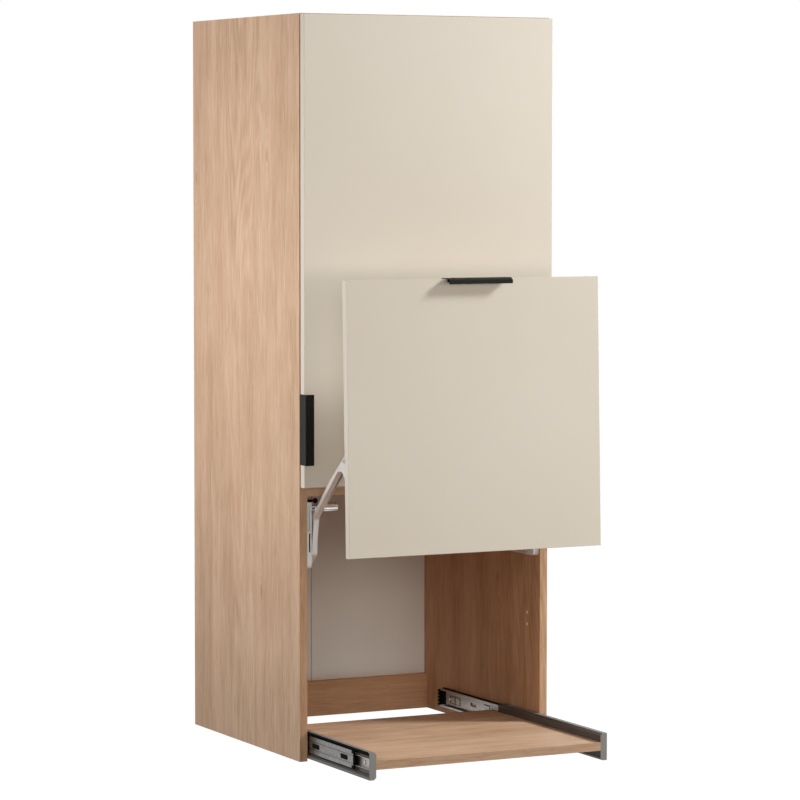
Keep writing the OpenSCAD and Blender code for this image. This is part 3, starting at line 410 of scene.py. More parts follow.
# Wall hangers. Grey moulded bodies screwed inside the top corners, with an adjusting screw in
# each recess and a steel hook that passes through a notch in the back panel.
grey_moulding = soft_mottle("grey_moulding", linear(168, 169, 168), linear(181, 182, 180),
                            size=0.02, roughness=0.48)
dress(grey_moulding, "wall_hanger_left", "wall_hanger_right")
soften("wall_hanger_left", "wall_hanger_right", by=0.0004)


# Screws. Zinc plated pan heads with a cross recess, in every place where the CAD model has a
# screw: hinge plates and cups, lift housings and brackets, slides and profiles.
def solids_of(name):
    """The separate solids of a CAD node, each as a list of its points"""
    mesh = cad[name].data
    keys = [tuple(round(c, 6) for c in v.co) for v in mesh.vertices]
    owner = {}

    def root(key):
        while owner.setdefault(key, key) != key:
            owner[key] = owner[owner[key]]
            key = owner[key]
        return key

    for face in mesh.polygons:
        first = root(keys[face.vertices[0]])
        for i in face.vertices[1:]:
            owner[root(keys[i])] = first
    groups = {}
    for key in sorted(set(keys)):
        groups.setdefault(root(key), []).append(Vector(key))
    return [groups[k] for k in sorted(groups)]


def ends_of(points, axis):
    """The points of a solid's first and last face along an axis, and how far apart they lie"""
    touching = 1e-5
    near, far = min(p.dot(axis) for p in points), max(p.dot(axis) for p in points)
    first = [p for p in points if p.dot(axis) < near + touching]
    last = [p for p in points if p.dot(axis) > far - touching]
    return first, last, far - near


def round_of(points):
    """The middle and the radius of a round face"""
    middle = (Vector([max(p[i] for p in points) for i in range(3)])
              + Vector([min(p[i] for p in points) for i in range(3)])) / 2
    return middle, max((p - middle).length for p in points)


def ring(shape, radius, z, steps):
    turns = [math.tau * i / steps for i in range(steps)]
    return [shape.verts.new((radius * math.cos(a), radius * math.sin(a), z)) for a in turns]


def bridge(shape, lower, upper):
    n = len(lower)
    for i in range(n):
        shape.faces.new((lower[i], lower[(i + 1) % n], upper[(i + 1) % n], upper[i]))


def lathe(shape, outline, steps):
    """Turns an outline of (radius, z) round Z; a radius of 0 closes it with a fan"""
    last = None
    for radius, z in outline:
        this = [shape.verts.new((0, 0, z))] if radius == 0 else ring(shape, radius, z, steps)
        if last:
            for i in range(max(len(last), len(this))):
                corners = [last[i % len(last)], last[(i + 1) % len(last)],
                           this[(i + 1) % len(this)], this[i % len(this)]]
                shape.faces.new([c for k, c in enumerate(corners) if c not in corners[:k]])
        last = this
    return last


def cross_head(shape, radius, height, shank_r, shank_l, countersunk=False):
    """A screw along Z with the face of its head at z = 0 and a cross recess in it"""
    steps = 24
    rim, tip = radius * 0.62, -height - shank_l
    shank = [(0, tip), (shank_r * 0.4, tip + 0.001), (shank_r, tip + 0.003), (shank_r, -height)]
    if countersunk:
        head = [(radius, -0.0001), (radius * 0.97, 0), (rim, 0)]
    else:
        head = [(radius, -height), (radius, -height * 0.45), (radius * 0.93, -height * 0.2),
                (radius * 0.8, -height * 0.05), (rim, 0)]
    edge = lathe(shape, shank + head, steps)
    arm, half, deep, taper = rim * 0.82, rim * 0.2, height * 0.7, 0.7
    cross = []
    for k in range(4):
        c, s = math.cos(k * math.pi / 2), math.sin(k * math.pi / 2)
        for x, y in ((arm, -half), (arm, half), (half, half)):
            cross.append((c * x - s * y, s * x + c * y))
    top = [shape.verts.new((x, y, 0)) for x, y in cross]
    foot = [shape.verts.new((x * taper, y * taper, -deep)) for x, y in cross]
    edges = [shape.edges.new((top[i], top[(i + 1) % len(top)])) for i in range(len(top))]
    edges += [shape.edges.get((edge[i], edge[(i + 1) % steps])) for i in range(steps)]
    bmesh.ops.triangle_fill(shape, use_beauty=True, edges=edges, normal=(0, 0, 1))
    bridge(shape, top, foot)
    shape.faces.new(foot)


def piece_from(name, shape, material, body, smooth=35):
    """Turns a bmesh into a piece that rides on a body and takes its finish from a slot"""
    bmesh.ops.recalc_face_normals(shape, faces=shape.faces)
    mesh = bpy.data.meshes.new(name)
    shape.to_mesh(mesh)
    shape.free()
    for face in mesh.polygons:
        face.use_smooth = True
    mesh.set_sharp_from_angle(angle=math.radians(smooth))
    mesh.materials.append(material)
    made = bpy.data.objects.new(name, mesh)
    bpy.context.scene.collection.objects.link(made)
    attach(made, body)
    return made


def join_in(shape, one):
    """Adds one bmesh to another and lets go of it"""
    scratch = bpy.data.meshes.new("scratch")
    one.to_mesh(scratch)
    one.free()
    shape.from_mesh(scratch)
    bpy.data.meshes.remove(scratch)


def stand_in(shape, one, place, axis, turn=0.0):
    """Stands a bmesh made along Z at a place, with its Z along an axis, and joins it in"""
    upright = Vector(axis).to_track_quat("Z", "Y").to_matrix().to_4x4()
    bmesh.ops.transform(one, verts=one.verts, matrix=Matrix.Translation(place) @ upright
                        @ Matrix.Rotation(turn, 4, "Z"))
    join_in(shape, one)


def screws(name, body, material, out, head_t, countersunk=False):
    """Stands detailed screws in the places of a CAD node's plain ones, each recess at an angle
    of its own; out gives the head's side"""
    angle_step = 0.7
    shape = bmesh.new()
    for points in solids_of(name):
        axis = Vector(out(1 if sum(points, Vector()).x > 0 else -1)).normalized()
        tail, face, length = ends_of(points, axis)
        middle, radius = round_of(face)
        shank_r = round_of(tail)[1]
        one = bmesh.new()
        cross_head(one, radius, head_t, shank_r, length - head_t, countersunk)
        stand_in(shape, one, middle, axis, angle_step * len(shape.verts))
    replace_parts(piece_from(name + "_detailed", shape, material, body), name)


def inward(side):
    return -side, 0, 0


def to_wall(side):
    return 0, 1, 0


HEAD_T = 0.0012
screw_zinc = zinc_plate("screw_zinc", linear(222, 222, 220), linear(190, 191, 190), along="Z",
                        size=0.0015, roughness=0.28)
for name in ("plate_screws", "housing_screws", "slide_screws"):
    screws(name, "carcass", screw_zinc, inward, HEAD_T)
screws("cup_screws", "upper_door", screw_zinc, to_wall, HEAD_T)


# Door hinges. Concealed hinges of pressed and nickel-plated steel: plates on the right side
# panel, arms over them, and cups let into the door's back.
nickel = zinc_plate("nickel", linear(206, 204, 199), linear(176, 174, 170), along="Y", size=0.003,
                    roughness=0.26)
dress(nickel, "hinge_plates", "hinge_arms", "hinge_cups")
soften("hinge_plates", "hinge_arms", "hinge_cups", by=0.0003)


# Door and flap panels. MDF with a supermatt warm beige lacquer on faces and edges, a fine
# rounding on the face edges, and the faintest roller texture in the lacquer.
def matt_lacquer(name, colour, other):
    drifts_per_m, rollers_per_m, dust_per_m = 2.2, 420, 2600
    dust_share, dust_grey, roller_depth = 0.12, (0.9, 0.88, 0.84, 1), 0.00002
    made, tree, shader = finish_of(name, Specular_IOR_Level=0.4, Sheen_Weight=0.06,
                                   Sheen_Roughness=0.5)
    where = tree.nodes.new("ShaderNodeTexCoord").outputs["Object"]
    drift = span(tree, noise(tree, where, drifts_per_m, 3), 0.35, 0.65)
    roller = noise(tree, where, rollers_per_m, 2)
    dust = span(tree, noise(tree, where, dust_per_m, 1), 0.7, 0.8)
    coat = blend_colour(tree, drift, colour, other)
    coat = blend_colour(tree, calc(tree, "MULTIPLY", dust, dust_share), coat, dust_grey)
    feed(tree, shader.inputs["Base Color"], coat)
    feed(tree, shader.inputs["Roughness"], span(tree, roller, 0.3, 0.7, 0.5, 0.57))
    relief(tree, shader, roller, roller_depth)
    return made


beige_lacquer = matt_lacquer("beige_lacquer", linear(226, 215, 198), linear(229, 219, 203))
dress(beige_lacquer, "door_panel", "flap_panel")
soften("door_panel", "flap_panel", by=0.0004)


# Handles. One strip of steel each, bent over the edge of its front, powder coated satin black
# with a fine pebble, and held from behind by two countersunk screws. The flap's handle has a
# deeper front, which slopes forward before it hangs down.
black_coat = soft_mottle("black_coat", linear(25, 24, 22), linear(31, 30, 28), size=0.01,
                         roughness=0.5, Specular_IOR_Level=0.1)
dress(black_coat, "door_handle", "flap_handle")
soften("door_handle", "flap_handle", by=0.0003)
FLAP_LEAN = math.radians(1.74)


def off_flap(side):
    return 0, math.cos(FLAP_LEAN), -math.sin(FLAP_LEAN)


HANDLE_T, BEND_R = 0.0015, 0.0003
NOSE_OUT, NOSE_H, NOSE_FALL, NOSE_LAP = 0.0085, 0.0127, 0.0046, 0.001
KEPT_INSIDE = 0.0001
lip_low, lip_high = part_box("flap_handle")
nose_y, top_z = lip_low.y - NOSE_OUT, lip_high.z - KEPT_INSIDE
nose_z = top_z - NOSE_H
nose_outline = ((lip_low.y + NOSE_LAP, top_z), (lip_low.y, top_z), (nose_y, top_z - NOSE_FALL),
                (nose_y, nose_z), (nose_y + HANDLE_T, nose_z),
                (nose_y + HANDLE_T, top_z - NOSE_FALL - HANDLE_T),
                (lip_low.y + NOSE_LAP, top_z - HANDLE_T))
shape = bmesh.new()
ends = [[shape.verts.new((x, y, z)) for y, z in nose_outline]
        for x in (lip_low.x + KEPT_INSIDE, lip_high.x - KEPT_INSIDE)]
bridge(shape, *ends)
for end in ends:
    shape.faces.new(end)
bmesh.ops.bevel(shape, geom=shape.edges, offset=BEND_R, segments=2, affect="EDGES")
piece_from("flap_handle_nose", shape, black_coat, "flap")
black_screw = soft_mottle("black_screw", linear(38, 37, 36), linear(52, 50, 48), size=0.004,
                          roughness=0.35)
screws("door_handle_screws", "upper_door", black_screw, to_wall, HANDLE_T, True)
screws("flap_handle_screws", "flap", black_screw, off_flap, HANDLE_T, True)


# Plugs in the spare bores. Small pale moulded discs, pressed into the two unused bores beside
# the appliance bay on each side panel.
def disc(shape, place, radius, thick, out):
    """A round plate with a soft rim whose back lies at a place, standing out along an axis"""
    one = bmesh.new()
    lathe(one, [(0, 0), (radius, 0), (radius, thick * 0.5), (radius * 0.85, thick), (0, thick)],
          steps=20)
    stand_in(shape, one, place, out)


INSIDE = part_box("side_right")[0].x
BORE_INSET, BORE_LEVELS = 0.058, (0.2545, 0.2805)
PLUG_R, PLUG_T = 0.0034, 0.0005
plug_moulding = soft_mottle("plug_moulding", linear(240, 230, 214), linear(232, 220, 202),
                            size=0.004, roughness=0.5)
shape = bmesh.new()
for side in (-1, 1):
    for z in BORE_LEVELS:
        disc(shape, (side * INSIDE, FRONT_EDGE + BORE_INSET, z), PLUG_R, PLUG_T, inward(side))
piece_from("bore_plugs", shape, plug_moulding, "carcass")


# Bumpers. Soft white moulded domes, stuck on the back of both fronts where they meet the
# carcass, so that they close without noise.
def bumpers(name, body, axis):
    """Stands domes in the places of a CAD node's plain bumpers, along an axis"""
    wall_share, smooth = 0.3, 60
    shape = bmesh.new()
    for points in solids_of(name):
        foot, _, tall = ends_of(points, axis)
        middle, radius = round_of(foot)
        dome = [(radius * math.cos(a), tall * (wall_share + (1 - wall_share) * math.sin(a)))
                for a in [math.radians(15 * i) for i in range(6)]]
        one = bmesh.new()
        lathe(one, [(0, 0), (radius, 0)] + dome + [(0, tall)], steps=24)
        stand_in(shape, one, middle, axis)
    made = piece_from(name + "_domed", shape, white_moulding, body, smooth)
    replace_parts(made, name)


white_moulding = soft_mottle("white_moulding", linear(232, 229, 222), linear(242, 239, 233),
                             size=0.03, roughness=0.42)
bumpers("door_bumpers", "upper_door", Vector((0, 1, 0)))
bumpers("flap_bumpers", "flap", Vector(off_flap(1)).normalized())


# Flap lift. Pale moulded housings screwed to the side panels, steel shafts with a bright barrel,
# zinc brackets on the flap, and between them channel arms in a pale paint with a metal gleam.
def shade_inward(material, tint):
    """Paints shade on the faces turned towards the cabinet's middle by deepening their colour"""
    tree = material.node_tree
    base = tree.nodes["Principled BSDF"].inputs["Base Color"]
    inner = towards_middle(tree, tree.nodes.new("ShaderNodeTexCoord").outputs)
    feed(tree, base, blend_colour(tree, inner, base.links[0].from_socket, tint, "MULTIPLY"))


# Painted shade: the housings' faces towards the middle are deepened.
HOUSING_INNER_SHADE = (0.72, 0.66, 0.62, 1)
housing_moulding_and_shade = soft_mottle("housing_moulding_and_shade", linear(240, 243, 241), linear(246, 248, 246),
                               size=0.03, roughness=0.4)
shade_inward(housing_moulding_and_shade, HOUSING_INNER_SHADE)
dress(housing_moulding_and_shade, "lift_housing_left", "lift_housing_right")
soften("lift_housing_left", "lift_housing_right", by=0.0005)
bright_steel = zinc_plate("bright_steel", linear(236, 237, 238), linear(212, 214, 216), along="X",
                          size=0.003, roughness=0.16)
dress(bright_steel, "lift_shaft_left", "lift_shaft_right")
soften("lift_shaft_left", "lift_shaft_right", by=0.0004)
rivet_steel = zinc_plate("rivet_steel", linear(206, 207, 208), linear(176, 177, 178), along="X",
                         size=0.002, roughness=0.3)
dress(rivet_steel, "guide_pivots", "guide_pins")
soften("guide_pivots", "guide_pins", by=0.0002)
arm_paint = soft_mottle("arm_paint", linear(204, 196, 190), linear(214, 207, 201), size=0.02,
                        roughness=0.4, Metallic=0.5)
dress(arm_paint, "lift_arm_left", "lift_arm_right", "guide_arm_left", "guide_arm_right")
soften("lift_arm_left", "lift_arm_right", "guide_arm_left", "guide_arm_right", by=0.0004)
bracket_zinc = zinc_plate("bracket_zinc", linear(212, 213, 214), linear(182, 184, 186), along="Z")
dress(bracket_zinc, "flap_bracket_left", "flap_bracket_right")
soften("flap_bracket_left", "flap_bracket_right", by=0.0003)
screws("bracket_screws", "flap", screw_zinc, off_flap, HEAD_T)


# Black moulded parts of the lift: a slotted insert in the front of each housing, and the ribbed
# knob that adjusts the spring, which stands on the shaft's bearing. Two black blocks along the
# top of each housing are painted shade for the gap under the fixed shelf.
def beside(shape, side, x, y, z, chamfer=0.0002):
    """Adds a chamfered block given by its spans; x counts from the cabinet's middle to one side"""
    xs = sorted((side * x[0], side * x[1]))
    low, high = Vector((xs[0], y[0], z[0])), Vector((xs[1], y[1], z[1]))
    one = bmesh.new()
    bmesh.ops.create_cube(one, size=1)
    bmesh.ops.transform(one, verts=one.verts, matrix=Matrix.Translation((low + high) / 2)
                        @ Matrix.Diagonal((*(high - low), 1)))
    bmesh.ops.bevel(one, geom=one.edges, offset=chamfer, segments=1, affect="EDGES")
    join_in(shape, one)


# This black moulding also serves for pieces that are painted shade.
black_moulding_and_shade = soft_mottle("black_moulding_and_shade", linear(15, 14, 13), linear(23, 22, 21), size=0.01,
                             roughness=0.7, Specular_IOR_Level=0.03)
housing_low, housing_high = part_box("lift_housing_right")
shaft_low, shaft_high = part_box("lift_shaft_right")
front, top = housing_low.y + 0.0005, housing_high.z
FRONT_SHADE_X, FRONT_SHADE_L, FRONT_SHADE_H = (0.2640, INSIDE - 0.0003), 0.012, 0.0048
TOP_SHADE_X, TOP_SHADE_END, TOP_SHADE_H = (0.2655, INSIDE - 0.0010), 0.060, 0.0035
INSERT_X, INSERT_T, INSERT_Z = (0.2722, 0.2752), 0.0008, (top - 0.1070, top - 0.0670)
KNOB_AT = Vector((0.2572, (shaft_low.y + shaft_high.y) / 2, shaft_high.z))
KNOB_R, KNOB_NECK, KNOB_DISH, KNOB_H, DISH_Z = 0.0044, 0.0036, 0.0022, 0.0104, 0.0096
KNOB_OUTLINE = ((0, 0), (KNOB_NECK, 0), (KNOB_NECK, 0.0020), (KNOB_R, 0.0030), (KNOB_R, 0.0090),
                (KNOB_NECK, KNOB_H), (KNOB_DISH, KNOB_H), (KNOB_DISH - 0.0004, DISH_Z),
                (0, DISH_Z))
KNOB_RIBS, RIB_Z, RIB_SIZE = 10, 0.0060, (0.0008, 0.0014, 0.0056, 1)
shape = bmesh.new()
for side in (-1, 1):
    # Painted shade: two black blocks along the housing's top.
    beside(shape, side, FRONT_SHADE_X, (front, front + FRONT_SHADE_L), (top, top + FRONT_SHADE_H), chamfer=0.001)
    beside(shape, side, TOP_SHADE_X, (front + FRONT_SHADE_L, front + TOP_SHADE_END), (top, top + TOP_SHADE_H),
           chamfer=0.0008)
    beside(shape, side, INSERT_X, (front - INSERT_T, front), INSERT_Z)
    knob = bmesh.new()
    lathe(knob, KNOB_OUTLINE, steps=20)
    for k in range(KNOB_RIBS):
        around = Matrix.Rotation(math.tau * k / KNOB_RIBS, 4, "Z")
        rib = bmesh.new()
        bmesh.ops.create_cube(rib, size=1, matrix=around
                              @ Matrix.Translation((KNOB_R, 0, RIB_Z)) @ Matrix.Diagonal(RIB_SIZE))
        join_in(knob, rib)
    bmesh.ops.transform(knob, verts=knob.verts, matrix=Matrix.Translation(
        (side * KNOB_AT.x, KNOB_AT.y, KNOB_AT.z)))
    join_in(shape, knob)
piece_from("lift_black_parts_and_shade", shape, black_moulding_and_shade, "carcass")


# Ball slides. Three rolled members on each side, bright zinc plated, their balls in pressed
# cages, with a black moulded stop on the front end of each middle member.
slide_zinc = zinc_plate("slide_zinc", linear(176, 171, 165), linear(148, 143, 138), along="Y")
dress(slide_zinc, "slide_outer_left", "slide_outer_right", "slide_inner_left",
      "slide_inner_right")
middle_low, middle_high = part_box("slide_middle_right")
MIDDLE_Z = (middle_low.z + middle_high.z) / 2
MIDDLE_FOLDS = (MIDDLE_Z - 0.0085, MIDDLE_Z + 0.0085)
middle_zinc_and_shade = zinc_plate("middle_zinc_and_shade", linear(140, 138, 135), linear(116, 114, 112), along="Y")
# Painted shade: dark lines along the middle members' two folds.
shade_lines(middle_zinc_and_shade, "Z", MIDDLE_FOLDS, width=0.0021, depth=0.6)
dress(middle_zinc_and_shade, "slide_middle_left", "slide_middle_right")
soften("slide_outer_left", "slide_outer_right", "slide_middle_left", "slide_middle_right",
       "slide_inner_left", "slide_inner_right", by=0.0003)
cage_steel = zinc_plate("cage_steel", linear(176, 177, 178), linear(140, 142, 144), along="Y",
                        size=0.002, roughness=0.3)
dress(cage_steel, "outer_ball_cages", "inner_ball_cages")
dress(black_moulding_and_shade, "slide_stops")
soften("slide_stops", by=0.0003)


# Racks of the pull-out shelf. A black moulded rack with teeth on its lower edge is clipped along
# the edge of each profile's upper lip, and keeps both sides in step. A black strip under the lip,
# against the profile's wall, is painted shade in the profile's recess.
profile_low, profile_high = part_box("shelf_profile_right")
RACK_Y = (profile_low.y + 0.006, profile_high.y - 0.007)
RACK_X, RACK_Z = (0.2807, 0.2813), (0.0604, 0.0641)
SHADE_STRIP_X, SHADE_STRIP_Z = (0.2684, 0.2708), (0.0522, 0.0616)
TOOTH_X, TOOTH_Z, TOOTH_PITCH = (0.2809, 0.2813), (0.0590, 0.0606), 0.009
shape = bmesh.new()
for side in (-1, 1):
    beside(shape, side, RACK_X, RACK_Y, RACK_Z)
    # Painted shade: a black strip under the lip, in the profile's recess.
    beside(shape, side, SHADE_STRIP_X, RACK_Y, SHADE_STRIP_Z)
    for k in range(int((RACK_Y[1] - RACK_Y[0]) / TOOTH_PITCH)):
        y = RACK_Y[0] + k * TOOTH_PITCH
        beside(shape, side, TOOTH_X, (y, y + TOOTH_PITCH / 2), TOOTH_Z, chamfer=0.0001)
piece_from("shelf_racks_and_shade", shape, black_moulding_and_shade, "pullout_shelf")


# Rails of the outer members. A black moulded rail lies over each member, and a ribbed buffer
# closes it at the back, held by a flat clasp that lies on the member's web.
outer_low, outer_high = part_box("slide_outer_right")
RAIL_X, RAIL_Y = (0.2745, 0.2805), (outer_low.y + 0.005, outer_high.y - 0.004)
RAIL_Z = (outer_high.z + 0.0001, outer_high.z + 0.0020)
BUFFER_OUT, BUFFER_L, BUFFER_CHAMFER = 0.2807, 0.0065, 0.0004
BUFFER_RIBS, BUFFER_FOOT, BUFFER_PITCH, BUFFER_RIB_H = 5, 0.0185, 0.0077, 0.0050
back = outer_high.y + 0.0045
CLASP_X, CLASP_Y, CLASP_Z = (0.2796, BUFFER_OUT), (back - 0.015, back + 0.004), (0.0200, 0.0540)
RIB_X, RIB_Y = (0.2705, BUFFER_OUT), (back, back + BUFFER_L)
PLATE_X, PLATE_Y, PLATE_Z = (0.2740, BUFFER_OUT), (back + 0.003, back + BUFFER_L), (0.0190, 0.0545)
shape = bmesh.new()
for side in (-1, 1):
    beside(shape, side, RAIL_X, RAIL_Y, RAIL_Z)
    beside(shape, side, CLASP_X, CLASP_Y, CLASP_Z)
    for k in range(BUFFER_RIBS):
        z = BUFFER_FOOT + BUFFER_PITCH * k
        beside(shape, side, RIB_X, RIB_Y, (z, z + BUFFER_RIB_H), BUFFER_CHAMFER)
    beside(shape, side, PLATE_X, PLATE_Y, PLATE_Z, BUFFER_CHAMFER)
piece_from("slide_rails", shape, black_moulding_and_shade, "carcass")


# Punchings of the middle members. Two long rounded slots in each, filled with black plates, and
# two grooves at the back drawn as black strips, all painted shade; two black pads on the front
# end.
def rounded_plate(shape, side, x, y, z, radius):
    """A plate with round corners that lies flat against a member's web"""
    corners = ((y[1] - radius, z[1] - radius), (y[0] + radius, z[1] - radius),
               (y[0] + radius, z[0] + radius), (y[1] - radius, z[0] + radius))
    outline = [(cy + radius * math.cos(a), cz + radius * math.sin(a))
               for k, (cy, cz) in enumerate(corners)
               for a in [math.radians(90 * k + 18 * i) for i in range(6)]]
    near = [shape.verts.new((side * x[0], a, b)) for a, b in outline]
    far = [shape.verts.new((side * x[1], a, b)) for a, b in outline]
    bridge(shape, near, far)
    shape.faces.new(near)
    shape.faces.new(far)


def about(middle, half):
    """The span to both sides of a middle"""
    return middle - half, middle + half


WEB_FACE = middle_high.x
SLOT_X, PAD_X = (WEB_FACE - 0.0008, WEB_FACE + 0.0003), (WEB_FACE - 0.0030, WEB_FACE + 0.0010)
SLOT_AT, SLOT_L, SLOT_HALF, SLOT_R = (0.0255, 0.1625), 0.0335, 0.0052, 0.0040
PAD_AT, PAD_L_HALF, PAD_HALF, PAD_CHAMFER = 0.0155, 0.0055, 0.0030, 0.0005
GROOVE_X, GROOVE_Y = (0.2774, 0.2780), (middle_high.y - 0.053, middle_high.y - 0.0015)
GROOVE_Z, GROOVE_HALF = (MIDDLE_Z - 0.0033, MIDDLE_Z + 0.0042), 0.0012
shape = bmesh.new()
for side in (-1, 1):
    # Painted shade: black plates in the slots and along the grooves.
    for y in (middle_low.y + along for along in SLOT_AT):
        rounded_plate(shape, side, SLOT_X, (y, y + SLOT_L), about(MIDDLE_Z, SLOT_HALF), SLOT_R)
    for z in about(MIDDLE_Z, PAD_AT):
        beside(shape, side, PAD_X, about(middle_low.y, PAD_L_HALF), about(z, PAD_HALF),
               PAD_CHAMFER)
    for z in GROOVE_Z:
        beside(shape, side, GROOVE_X, GROOVE_Y, about(z, GROOVE_HALF))
piece_from("middle_pads_and_shade", shape, black_moulding_and_shade, "slide_middles")


# Punchings of the outer members. A barred window, a round hole and two bent tongues in each,
# drawn as black strips and a black disc on the web: painted shade for their openings and slits.
OUTER_FACE = INSIDE - 0.0012
ON_WEB = (OUTER_FACE - 0.0004, OUTER_FACE + 0.0002)
WINDOW_Y, WINDOW_Z, WINDOW_EDGE = (-0.1870, -0.1390), (0.0275, 0.0440), 0.0008
BARS_Y, BAR_HALF = (-0.1865, -0.1625, -0.1395), 0.0016
HOLE_Y, HOLE_Z, HOLE_R, HOLE_T = -0.2415, 0.0400, 0.0030, 0.0004
TONGUE_Y, TONGUE_HALF, TONGUE_FOOT, TONGUE_DROP = -0.3330, 0.0011, 0.0040, 0.0075
TONGUES = ((0.0470, 0.030), (0.0360, 0.022))
shape = bmesh.new()
# Painted shade: black strips and a disc on the web for the window, hole and tongues.
for side in (-1, 1):
    for z in WINDOW_Z:
        beside(shape, side, ON_WEB, WINDOW_Y, about(z, WINDOW_EDGE))
    for y in BARS_Y:
        beside(shape, side, ON_WEB, about(y, BAR_HALF), WINDOW_Z)
    disc(shape, (side * OUTER_FACE, HOLE_Y, HOLE_Z), HOLE_R, HOLE_T, inward(side))
    for z, reach in TONGUES:
        beside(shape, side, ON_WEB, (TONGUE_Y, TONGUE_Y + reach), about(z, TONGUE_HALF))
        beside(shape, side, ON_WEB, (TONGUE_Y, TONGUE_Y + TONGUE_FOOT), (z - TONGUE_DROP, z))
piece_from("outer_punching_shade", shape, black_moulding_and_shade, "carcass")


# Pull-out shelf. An oak decor board with its grain from side to side, held between two grey
# powder coated profiles with plates on their front ends, which ride on the slides.
SHELF_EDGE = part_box("pullout_board")[0].y
OAK_SHELF = (0.84, 0.82, 0.79, 1)
oak_pullout = oak_board("oak_pullout", "YZX", ("+Y", "+X", "-X"), SHELF_EDGE, OAK_SHELF)
dress(oak_pullout, "pullout_board")
soften("pullout_board", by=0.0005)
# Painted shade: the profiles' faces towards the middle are deepened, and a dark line is painted
# just below the top of the lower lip.
PROFILE_INNER_SHADE = (0.42, 0.35, 0.31, 1)
LIP_TOP = profile_low.z + 0.0090
grey_coat_and_shade = soft_mottle("grey_coat_and_shade", linear(124, 121, 117), linear(132, 129, 125), size=0.02,
                        roughness=0.55, Specular_IOR_Level=0.25)
shade_inward(grey_coat_and_shade, PROFILE_INNER_SHADE)
shade_lines(grey_coat_and_shade, "Z", (LIP_TOP - 0.0016,), width=0.0034, depth=0.85)
dress(grey_coat_and_shade, "shelf_profile_left", "shelf_profile_right")
cap_coat = soft_mottle("cap_coat", linear(142, 140, 136), linear(150, 148, 144), size=0.02,
                       roughness=0.55, Specular_IOR_Level=0.25)
dress(cap_coat, "profile_cap_left", "profile_cap_right")


def outward(side):
    return side, 0, 0


screws("profile_screws", "pullout_shelf", screw_zinc, outward, HEAD_T)


# Studio. A white floor that keeps a faint shadow, and a surround that the camera sees as white
# but that gives little light. The key lamp stands high on the right, and softer lamps fill from
# the front, the left, the right and behind.
def seen_directly(tree):
    """1 where the camera sees a surface itself, or in a gloss or through glass"""
    path = tree.nodes.new("ShaderNodeLightPath").outputs
    seen = calc(tree, "MAXIMUM", path["Is Camera Ray"], path["Is Glossy Ray"])
    return calc(tree, "MAXIMUM", seen, path["Is Transmission Ray"])


SURROUND = 0.02
world = bpy.data.worlds.new("surround")
bpy.context.scene.world = world
world.use_nodes = True
tree = world.node_tree
tree.nodes.clear()
dim = add(tree, "ShaderNodeBackground", {"Color": WHITE, "Strength": SURROUND})
white = add(tree, "ShaderNodeBackground", {"Color": WHITE, "Strength": 1.0})
mixed = add(tree, "ShaderNodeMixShader", {0: seen_directly(tree), 1: dim.outputs[0],
                                          2: white.outputs[0]})
add(tree, "ShaderNodeOutputWorld", {0: mixed.outputs[0]})

FLOOR_HALF, HANGS_AT = 60.0, 0.9
shape = bmesh.new()
shape.faces.new([shape.verts.new((x * FLOOR_HALF, y * FLOOR_HALF, -HANGS_AT))
                 for x, y in ((-1, -1), (1, -1), (1, 1), (-1, 1))])
mesh = bpy.data.meshes.new("studio_floor")
shape.to_mesh(mesh)
shape.free()
floor = bpy.data.objects.new("studio_floor", mesh)
bpy.context.scene.collection.objects.link(floor)
KEEPS_SHADOW = 0.1
SHADOW_NEAR, SHADOW_FAR = 1.5, 3.0
white_floor, tree, shader = finish_of("white_floor", Base_Color=(0.3, 0.3, 0.3, 1), Roughness=0.9,
                                      Specular_IOR_Level=0.1)
ground = add(tree, "ShaderNodeVectorMath",
             {0: tree.nodes.new("ShaderNodeTexCoord").outputs["Object"]}, operation="LENGTH")
level = span(tree, ground.outputs["Value"], SHADOW_NEAR, SHADOW_FAR, 1 - 0.8 * KEEPS_SHADOW, 1)
glow = add(tree, "ShaderNodeEmission", {"Color": WHITE, "Strength": level})
shade = add(tree, "ShaderNodeBsdfDiffuse", {"Color": (KEEPS_SHADOW,) * 3 + (1,)})
bright = add(tree, "ShaderNodeAddShader", {0: glow.outputs[0], 1: shade.outputs[0]})
mixed = add(tree, "ShaderNodeMixShader", {0: seen_directly(tree), 1: shader.outputs[0],
                                          2: bright.outputs[0]})
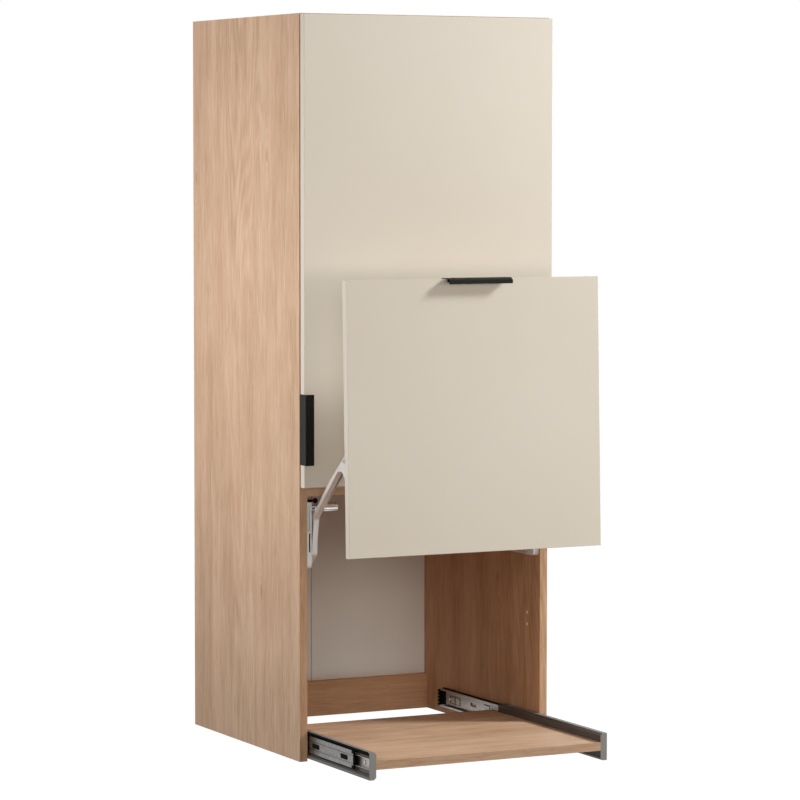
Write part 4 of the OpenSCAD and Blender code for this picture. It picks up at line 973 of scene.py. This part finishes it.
feed(tree, tree.nodes["Material Output"].inputs[0], mixed.outputs[0])
mesh.materials.append(white_floor)


def lamp(name, place, aimed_at, width, height, power, colour=(1, 1, 1)):
    data = bpy.data.lights.new(name, "AREA")
    data.shape = "RECTANGLE"
    data.size, data.size_y = width, height
    data.energy = power
    data.color = colour
    made = bpy.data.objects.new(name, data)
    bpy.context.scene.collection.objects.link(made)
    made.location = place
    made.rotation_euler = (Vector(aimed_at) - Vector(place)).to_track_quat("-Z", "Y").to_euler()
    made.visible_camera = False


lamp("key", place=(3.2, -1.95, 2.95), aimed_at=(0, -0.65, 0.85), width=0.7, height=0.7,
     power=176, colour=(0.94, 0.975, 1))
lamp("front_fill", place=(0.3, -3.6, 0.88), aimed_at=(0, -0.4, 0.35), width=0.9, height=0.6,
     power=12, colour=(1, 0.86, 0.73))
lamp("high_fill", place=(-2.3, -4.9, 1.4), aimed_at=(0, -0.5, 0.75), width=1.6, height=1.6,
     power=41, colour=(1, 0.99, 0.98))
lamp("right_fill", place=(1.7, -2.6, 1.25), aimed_at=(0.2, -0.7, 0.8), width=0.8, height=0.8,
     power=8.4)
lamp("left_fill", place=(-1.5, -0.3, 1.05), aimed_at=(-0.3, -0.3, 1.0), width=1.3, height=1.2,
     power=15.7)
lamp("back_fill", place=(0.8, 3.2, 1.6), aimed_at=(0, 0, 0.9), width=1.2, height=1.2,
     power=60)

CAMERA_AT = (-3.46243, -7.31481, 1.29253)
PAN, TILT, ROLL = math.radians(-26.72), math.radians(90 - 3.99), math.radians(0.05)
camera_data = bpy.data.cameras.new("camera")
camera_data.lens = 159.19
camera_data.sensor_width = 36
camera_data.clip_end = FLOOR_HALF
camera = bpy.data.objects.new("camera", camera_data)
bpy.context.scene.collection.objects.link(camera)
camera.matrix_world = (Matrix.Translation(CAMERA_AT) @ Matrix.Rotation(PAN, 4, "Z")
                       @ Matrix.Rotation(TILT, 4, "X") @ Matrix.Rotation(ROLL, 4, "Z"))
bpy.context.scene.camera = camera
bpy.context.scene.view_settings.view_transform = "Standard"
